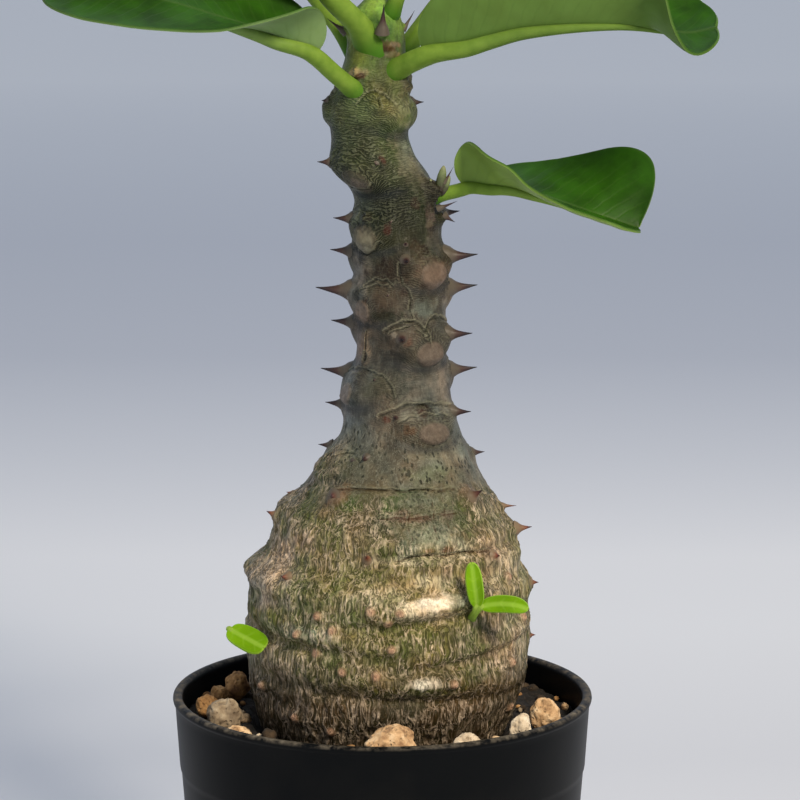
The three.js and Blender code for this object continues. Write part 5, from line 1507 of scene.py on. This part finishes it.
def leaf_blade(name, leaf):
    """The blade's middle surface with its thickness. leaf holds the measures of one leaf."""
    half, stations = leaf["half_stations"], leaf["stations"]
    along = (1 - np.cos(np.linspace(0, np.pi, stations + 1))) / 2
    stalk = leaf["stalk"]
    point, ahead, left, above, length = rib_frame(leaf, stalk + (1 - stalk) * along)
    full = (1 - np.abs(2 * along - 1) ** leaf["squareness"]).clip(0) ** leaf["taper"]
    width = np.maximum(0.03, full) * (1 + leaf["tip_width"] * (along - 0.5)) * leaf["half_width"]
    points = np.zeros((stations + 1, 2 * half + 1, 3))
    points[:, half] = point
    share = np.zeros((stations + 1, 2 * half + 1))
    for hand, column in ((-1, 1), (1, 2)):
        fold = np.radians(read_table(leaf["folds"], along, column))
        place = point.copy()
        for n in range(half):
            lean = fold + math.radians(leaf["curl"]) * ((n + 0.5) / half - 0.5)
            place = place - left * (hand * np.cos(lean) * width / half)[:, None]
            place = place + above * (np.sin(lean) * width / half)[:, None]
            reach = ((n + 1) / half) ** 2
            sweep = np.where(along > 0.45, leaf["tip_sweep"], leaf["sweep"])
            swept = place + ahead * (reach * sweep * (along - 0.45) * width)[:, None]
            points[:, half + hand * (n + 1)] = swept
            share[:, half + hand * (n + 1)] = hand * (n + 1) / half
    blade_length = length * (1 - stalk)
    down = np.repeat((along * blade_length)[:, None], 2 * half + 1, axis=1)
    side = share * width[:, None]
    lean_normal = np.cross(np.gradient(points, axis=0), np.gradient(points, axis=1))
    lean_normal /= np.linalg.norm(lean_normal, axis=-1)[:, :, None] + 1e-9
    wave = (leaf["wave"] * np.abs(share) ** 2 * noise(
        np.stack([down / 9, side * 0, down * 0 + 1], axis=-1).reshape(-1, 3), 1.0,
        leaf["seed"]).reshape(share.shape))
    quilt = leaf["quilt"] * np.cos((down - 0.55 * np.abs(side)) * 2 * np.pi / leaf["vein_step"])
    quilt = quilt * smoothstep(0.04, 0.25, np.abs(share)) * (1 - smoothstep(0.7, 0.95, np.abs(share)))
    points = points + lean_normal * (wave + quilt)[:, :, None]
    blade = grid_object(name, points * MM, {"edge": np.abs(share)}, np.stack([down, side], axis=-1))
    blade.select_set(True)
    bpy.context.view_layer.objects.active = blade
    bpy.ops.object.mode_set(mode="EDIT")
    bpy.ops.mesh.select_all(action="SELECT")
    bpy.ops.mesh.flip_normals()
    bpy.ops.object.mode_set(mode="OBJECT")
    thicken = blade.modifiers.new("thickness", "SOLIDIFY")
    thicken.thickness = leaf["thickness"] * MM
    thicken.offset = 0
    bpy.ops.object.modifier_apply(modifier=thicken.name)
    count = len(blade.data.vertices)
    under = np.zeros(count, np.float32)
    under[:count // 2] = 1
    attribute = blade.data.attributes.new("under", "FLOAT", "POINT")
    attribute.data.foreach_set("value", under)
    bpy.ops.object.shade_smooth_by_angle(angle=math.radians(50))
    bpy.ops.object.select_all(action="DESELECT")
    return blade


STALK_SIDES = 28
DOME_TURNS = (90, 72, 54, 36, 18)       # degrees round the stalk's rounded foot


def leaf_stalk(name, leaf):
    """The stalk and rib, a tube that thins towards the leaf's tip."""
    stalk = leaf["stalk"]
    rib_end = stalk + (1 - stalk) * 0.86
    places = np.linspace(0.0, rib_end, 90)
    point, ahead, left, above, _ = rib_frame(leaf, places)
    past = np.clip((places - stalk) / (rib_end - stalk), 0, 1)
    foot = 1 + leaf["flare"] * np.maximum(0, 1 - places / (0.45 * stalk)) ** 2
    radius = leaf["stalk_radius"] * (1 - 0.86 * past ** 0.8) * foot
    sunk = 0.75 * radius * smoothstep(0, 0.2, past)
    turns = np.arange(STALK_SIDES) * 2 * np.pi / STALK_SIDES
    groove = 1 - 0.16 * bell((turns - np.pi / 2), 0.5)[None, :] * (1 - past)[:, None]
    middle = point - above * sunk[:, None]
    points = (middle[:, None, :]
              + left[:, None, :] * (radius[:, None] * np.cos(turns)[None, :])[:, :, None]
              + above[:, None, :] * (0.85 * radius[:, None] * groove
                                     * np.sin(turns)[None, :])[:, :, None])
    dome = []
    for turn in np.radians(DOME_TURNS):
        centre = middle[0] - ahead[0] * radius[0] * math.sin(turn)
        dome.append(centre + (points[0] - middle[0]) * math.cos(turn))
    tip = np.repeat(middle[-1:, None, :], STALK_SIDES, axis=1)
    points = np.concatenate([np.array(dome), points, tip])
    in_dome = [1] * len(DOME_TURNS)
    rib_row = np.concatenate([in_dome, 1 - 0.6 * smoothstep(0, 0.4, past), [0.4]])
    foot_row = np.concatenate([in_dome, 1 - smoothstep(0, 0.42 * stalk, places), [0]])
    masks = {feature: np.repeat(row[:, None], STALK_SIDES, axis=1)
             for feature, row in (("stalk", rib_row), ("foot", foot_row),
                                  ("under", np.ones(len(rib_row))))}
    return rolled_skin(name, points * MM, masks)


USUAL_LEAF = {
    "stations": 90, "half_stations": 22, "squareness": 2.7, "taper": 0.55, "curl": 24,
    "sweep": 0.5, "tip_sweep": 0.5, "facing": (0, 0, 1), "tip_width": 0.15, "thickness": 0.55,
    "wave": 0.35, "quilt": 0.05, "vein_step": 4.6, "flare": 0.35, "seed": 61,
}


def make_leaf(name, leaf):
    measures = {**USUAL_LEAF, **leaf}
    return join([leaf_blade(name, measures), leaf_stalk(name + "_stalk", measures)], name + "_skin")


# %% [markdown]
# Each leaf has its rib's points, the share of the rib that is bare stalk, the stalk's radius and
# the blade's half width, in millimetres. Its folds are rows of a share along the blade and the
# degrees that its left and right halves rise by there, as seen from the stalk.

# %% Leaves
LEAVES = {
    "leaf_left": {
        "rib": [(-4.4, -4.6, 213), (-9.8, -8.5, 217.8), (-13.4, -10.6, 221.2), (-16.8, -12, 223.4),
                (-22.6, -13.6, 226), (-28.8, -15, 228.1), (-33.8, -16, 229.7), (-38.5, -17, 231.3),
                (-44.5, -18, 233), (-52.4, -19, 234.6), (-60.2, -20, 235.4), (-67.6, -21, 235.5)],
        "stalk": 0.2, "stalk_radius": 2.2, "half_width": 14, "taper": 0.45, "seed": 62,
        "folds": [(0, 80, 60), (0.06, 76, 56), (0.13, 52, 53), (0.2, 25, 50), (0.28, 6, 46),
                  (0.4, -11, 40), (0.6, -24, 30), (0.8, -27, 24), (1, -28, 20)],
    },
    "leaf_right": {
        "rib": [(2.2, -3.2, 217.8), (7.2, -7.5, 220.6), (11.9, -9.6, 222.5), (17.4, -11.2, 224.5),
                (22.1, -12.4, 225.8), (27.7, -13.4, 227.1), (34.6, -14.6, 227.8),
                (41.6, -15.6, 228.1), (48.4, -16.4, 228), (53.1, -17, 227.5), (57.7, -17.6, 226.7),
                (62.3, -18.2, 226.3), (67.4, -19, 227.4)],
        "stalk": 0.14, "stalk_radius": 2.7, "half_width": 14.5, "tip_width": 0.1, "flare": 0.25,
        "taper": 0.46, "seed": 63,
        "folds": [(0, 58, 80), (0.5, 50, 74), (0.72, 44, 60), (0.81, 40, 10), (0.9, 36, -22),
                  (1, 30, -26)],
    },
    "leaf_upper_left": {
        "rib": [(-1.8, -2.6, 222.4), (-5, -6.2, 227.8), (-9.1, -8.6, 232), (-14, -10.4, 237.4),
                (-24, -13.2, 245), (-36, -16.4, 250.6), (-50, -19, 253), (-64, -22, 251)],
        "stalk": 0.24, "stalk_radius": 2.8, "half_width": 15, "flare": 0.6, "seed": 64,
        "folds": [(0, 60, 60), (0.5, 30, 32), (1, 0, 5)],
    },
    "leaf_back_left": {
        "rib": [(-5, 4.2, 221), (-10, 8.6, 228), (-17, 14, 236), (-28, 22, 244.5),
                (-40, 30.5, 250), (-52, 39, 251.5), (-62, 46, 248.5)],
        "stalk": 0.24, "stalk_radius": 2.3, "half_width": 15, "seed": 65,
        "folds": [(0, 58, 58), (0.5, 28, 28), (1, 0, 0)],
    },
    "leaf_back_right": {
        "rib": [(3, 3.6, 219.4), (8, 7.2, 226), (15, 12.4, 234.4), (26, 20, 243), (38, 28, 248.6),
                (50, 36, 250.4), (60, 42.5, 248)],
        "stalk": 0.24, "stalk_radius": 2.3, "half_width": 15, "seed": 66,
        "folds": [(0, 58, 58), (0.5, 28, 28), (1, 0, 0)],
    },
    "leaf_back": {
        "rib": [(0.4, 5, 225), (1.8, 8.6, 233), (2.6, 15, 243), (2.4, 27, 254), (1.2, 42, 261),
                (0, 57, 262.5), (-1, 68, 260)],
        "stalk": 0.22, "stalk_radius": 2.2, "half_width": 14, "seed": 67,
        "folds": [(0, 58, 58), (0.5, 30, 30), (1, 2, 2)],
    },
    "leaf_young_right": {
        "rib": [(2, -2.6, 229.8), (5, -4.6, 237), (10, -7.4, 246), (18, -10.6, 256),
                (28, -14, 264), (38, -17, 268)],
        "stalk": 0.2, "stalk_radius": 1.7, "half_width": 10.5, "tip_width": 0.1, "seed": 68,
        "folds": [(0, 66, 66), (0.5, 48, 48), (1, 20, 20)],
    },
    "leaf_young_centre": {
        "rib": [(-2, 0.8, 233.4), (-3.2, 1.6, 240), (-5.6, 2.6, 249), (-9, 4, 259), (-14, 6, 269),
                (-20, 8, 277)],
        "stalk": 0.16, "stalk_radius": 1.3, "half_width": 7.5, "tip_width": 0, "seed": 69,
        "folds": [(0, 66, 66), (0.5, 58, 58), (1, 36, 36)],
    },
    "leaf_side_shoot": {
        "rib": [(10.6, -2, 191.8), (15.7, -1.9, 193), (18, -2.3, 193.7), (20.4, -2.8, 194.1),
                (24, -3.4, 194.3), (27.7, -4, 193.8), (31, -4.5, 192.8), (34.9, -5, 191.6),
                (41.2, -5.5, 189.4), (47.4, -6, 187.4), (51, -6.4, 186.2), (53.1, -6.6, 185.5)],
        "stalk": 0.16, "stalk_radius": 1.85, "half_width": 14.8, "squareness": 4, "taper": 0.42,
        "sweep": 1.0, "tip_sweep": 0.27, "curl": 18, "tip_width": 0.6, "seed": 70,
        "folds": [(0, 8, 88), (0.1, 8, 84), (0.2, 12, 40), (0.3, 18, 24), (0.4, 26, 12),
                  (0.55, 40, 5), (0.7, 56, 4), (0.85, 70, 4), (1, 76, 4)],
    },
}
leaf_skins = {name: make_leaf(name, leaf) for name, leaf in LEAVES.items()}
print("leaves:", len(leaf_skins))

# %% [markdown]
# A leaf's colour comes from the green tissue under a clear waxy skin: saturated and glossy above,
# paler and matt below, where the veins and the rib show. Side veins leave the rib at a slant
# every few millimetres.

# %% Leaf materials
VEIN_STEP = 2.6                # millimetres between side veins
VEIN_SLANT = 0.6


def leaf_material(name, upper, under, stalk, foot, margin, gloss=0.42):
    """Waxy leaf tissue. upper, under and stalk are each a darker and a lighter tone."""
    made, tree, shader = new_material(name, IOR=1.45, Specular_IOR_Level=0.12)
    place = add_node(tree, "TexCoord").outputs["Object"]
    on_blade = add_node(tree, "SeparateXYZ", [add_node(tree, "TexCoord").outputs["UV"]])
    mask = {feature: add_node(tree, "Attribute", attribute_name=feature).outputs["Fac"]
            for feature in ("edge", "under", "stalk", "foot")}
    mottle = add_node(tree, "TexNoise", {"Vector": place, "Scale": 140.0, "Detail": 4.0})
    streak = add_node(tree, "TexNoise", {"Vector": place, "Scale": 420.0, "Detail": 4.0})
    fine = add_node(tree, "TexNoise", {"Vector": place, "Scale": 1500.0, "Detail": 2.0})

    # The side veins are bands across the blade, slanted and made to waver.
    across = add_node(tree, "Math", [on_blade.outputs["Y"]], operation="ABSOLUTE")
    slant = add_node(tree, "Math", [across, VEIN_SLANT], operation="MULTIPLY")
    vein = add_node(tree, "Math", [on_blade.outputs["X"], slant], operation="SUBTRACT")
    drift = add_node(tree, "MapRange", [mottle, 0, 1, -1.4, 1.4])
    vein = add_node(tree, "Math", [vein, drift], operation="ADD")
    vein = add_node(tree, "Math", [vein, VEIN_STEP], operation="DIVIDE")
    vein = add_node(tree, "Math", [vein], operation="FRACT")
    vein = add_node(tree, "Math", [vein, 0.5], operation="SUBTRACT")
    vein = add_node(tree, "Math", [vein], operation="ABSOLUTE")
    vein = add_node(tree, "MapRange", [vein, 0.16, 0.02])
    off_rim = add_node(tree, "MapRange", [mask["edge"], 0.95, 0.5])
    vein = add_node(tree, "Math", [vein, off_rim], operation="MULTIPLY")
    middle = add_node(tree, "MapRange", [across, 0.7, 0.25])

    top_tone, low_tone, stalk_tone = (
        add_node(tree, "ValToRGB", [pattern], [(0.3, darker), (0.7, lighter)])
        for pattern, (darker, lighter) in ((mottle, upper), (mottle, under), (streak, stalk)))
    top_vein = add_node(tree, "Math", [vein, 0.1], operation="MULTIPLY")
    top_middle = add_node(tree, "Math", [middle, 0.35], operation="MULTIPLY")
    low_vein = add_node(tree, "Math", [vein, 0.14], operation="MULTIPLY")
    for share in (top_vein, top_middle):
        top_tone = add_node(tree, "Mix", {"Factor": share, "A": top_tone, "B": margin},
                            data_type="RGBA")
    low_tone = add_node(tree, "Mix", {"Factor": low_vein, "A": low_tone, "B": margin},
                        data_type="RGBA")
    stalk_tone = add_node(tree, "Mix", {"Factor": mask["foot"], "A": stalk_tone, "B": foot},
                          data_type="RGBA")
    rim = add_node(tree, "MapRange", [mask["edge"], 0.96, 0.995, 0, 0.35])
    tone = top_tone
    for share, colour in ((mask["under"], low_tone), (rim, margin), (mask["stalk"], stalk_tone)):
        tone = add_node(tree, "Mix", {"Factor": share, "A": tone, "B": colour}, data_type="RGBA")

    # The underside is a little rougher. The veins are sunk, and the skin is finely uneven.
    rough = add_node(tree, "MapRange", [mask["under"], 0, 1, gloss, gloss + 0.15])
    vein_depth = add_node(tree, "Math", [vein, -0.3], operation="MULTIPLY")
    fine_rise = add_node(tree, "Math", [fine, 0.12], operation="MULTIPLY")
    relief = add_node(tree, "Math", [vein_depth, fine_rise], operation="ADD")
    bump = add_node(tree, "Bump", {"Height": relief, "Strength": 0.4, "Distance": 0.2 * MM})
    fill_inputs(shader, {"Base Color": tone, "Roughness": rough, "Normal": bump,
                         "Subsurface Weight": 0.12, "Subsurface Scale": 1.0,
                         "Subsurface Radius": (0.35 * MM, 0.6 * MM, 0.12 * MM)})
    return made


# Some undersides are painted lighter and one darker than the usual tone, as painted light and
# shade: leaf_left and leaf_side_shoot lighter, leaf_right darker.
USUAL_UNDER = ("#577036", "#638042")
UNDER_TONES_LIT_AND_SHADED = {
    "leaf_left": ("#62794a", "#6f8a57"),
    "leaf_right": ("#4d662b", "#577435"),
    "leaf_side_shoot": ("#688139", "#779345"),
}
for name, skin in leaf_skins.items():
    leaf_finish = leaf_material("waxy_" + name, upper=("#1b3a06", "#2b580a"),
                                under=UNDER_TONES_LIT_AND_SHADED.get(name, USUAL_UNDER),
                                stalk=("#5d7a28", "#708c34"), foot="#3b6616", margin="#46602a")
    finish_piece(skin, leaf_finish, "leaf", name)

# %% [markdown]
# ## Sprouts
#
# Two dormant buds of the caudex have broken. Their leaves are a few millimetres long, thin and
# still yellow-green, because their skin has little wax and their tissue little chlorophyll.

# %% Sprouts
SPROUT_LEAF = {"stalk_radius": 0.75, "half_width": 1.8, "tip_width": 0, "thickness": 0.45,
               "wave": 0.05, "quilt": 0.0, "stations": 40, "half_stations": 12}
SPROUTS = {
    "sprout_left": [
        {"rib": [(-27.2, -8.2, 98.6), (-29.8, -9.4, 99.8), (-31.8, -10.8, 101),
                 (-32.1, -12.4, 101.5), (-30.6, -13.9, 101), (-28.1, -15.6, 100.1),
                 (-24.7, -17.7, 98.8)],
         "stalk": 0.47, "stalk_radius": 0.7, "half_width": 2.8, "taper": 0.45,
         "facing": (0.1, -0.8, 0.6), "tip_width": 0.2, "folds": [(0, 12, 12), (1, 8, 8)]},
    ],
    "sprout_right": [
        {"rib": [(18.6, -23.2, 106.6), (19.2, -25.4, 108.2), (19.5, -26.8, 110.6),
                 (19, -27.8, 114.6), (18.4, -28.4, 119.3)],
         "stalk": 0.32, "facing": (0, -1, 0.1), "folds": [(0, 24, 24), (1, 14, 14)]},
        {"rib": [(18.6, -23.2, 106.6), (19.2, -25.4, 108.2), (20.6, -26.8, 109.8),
                 (24, -27.8, 110.6), (27.4, -28.4, 110.5), (29.9, -28.8, 109.8)],
         "stalk": 0.34, "facing": (0, -1, 0.3), "folds": [(0, 14, 14), (1, 8, 8)]},
    ],
}
sprout_finish = leaf_material("thin_young_leaf", upper=("#5c8603", "#73a008"),
                              under=("#6c9316", "#80a824"), stalk=("#7f9f38", "#93b048"),
                              foot="#6f8a34", margin="#a3c650")
for name, members in SPROUTS.items():
    parts = [make_leaf(f"{name}_{i}", {**SPROUT_LEAF, **leaf}) for i, leaf in enumerate(members)]
    sprout = join(parts, name + "_skin")
    finish_piece(sprout, sprout_finish, "sprout", name)
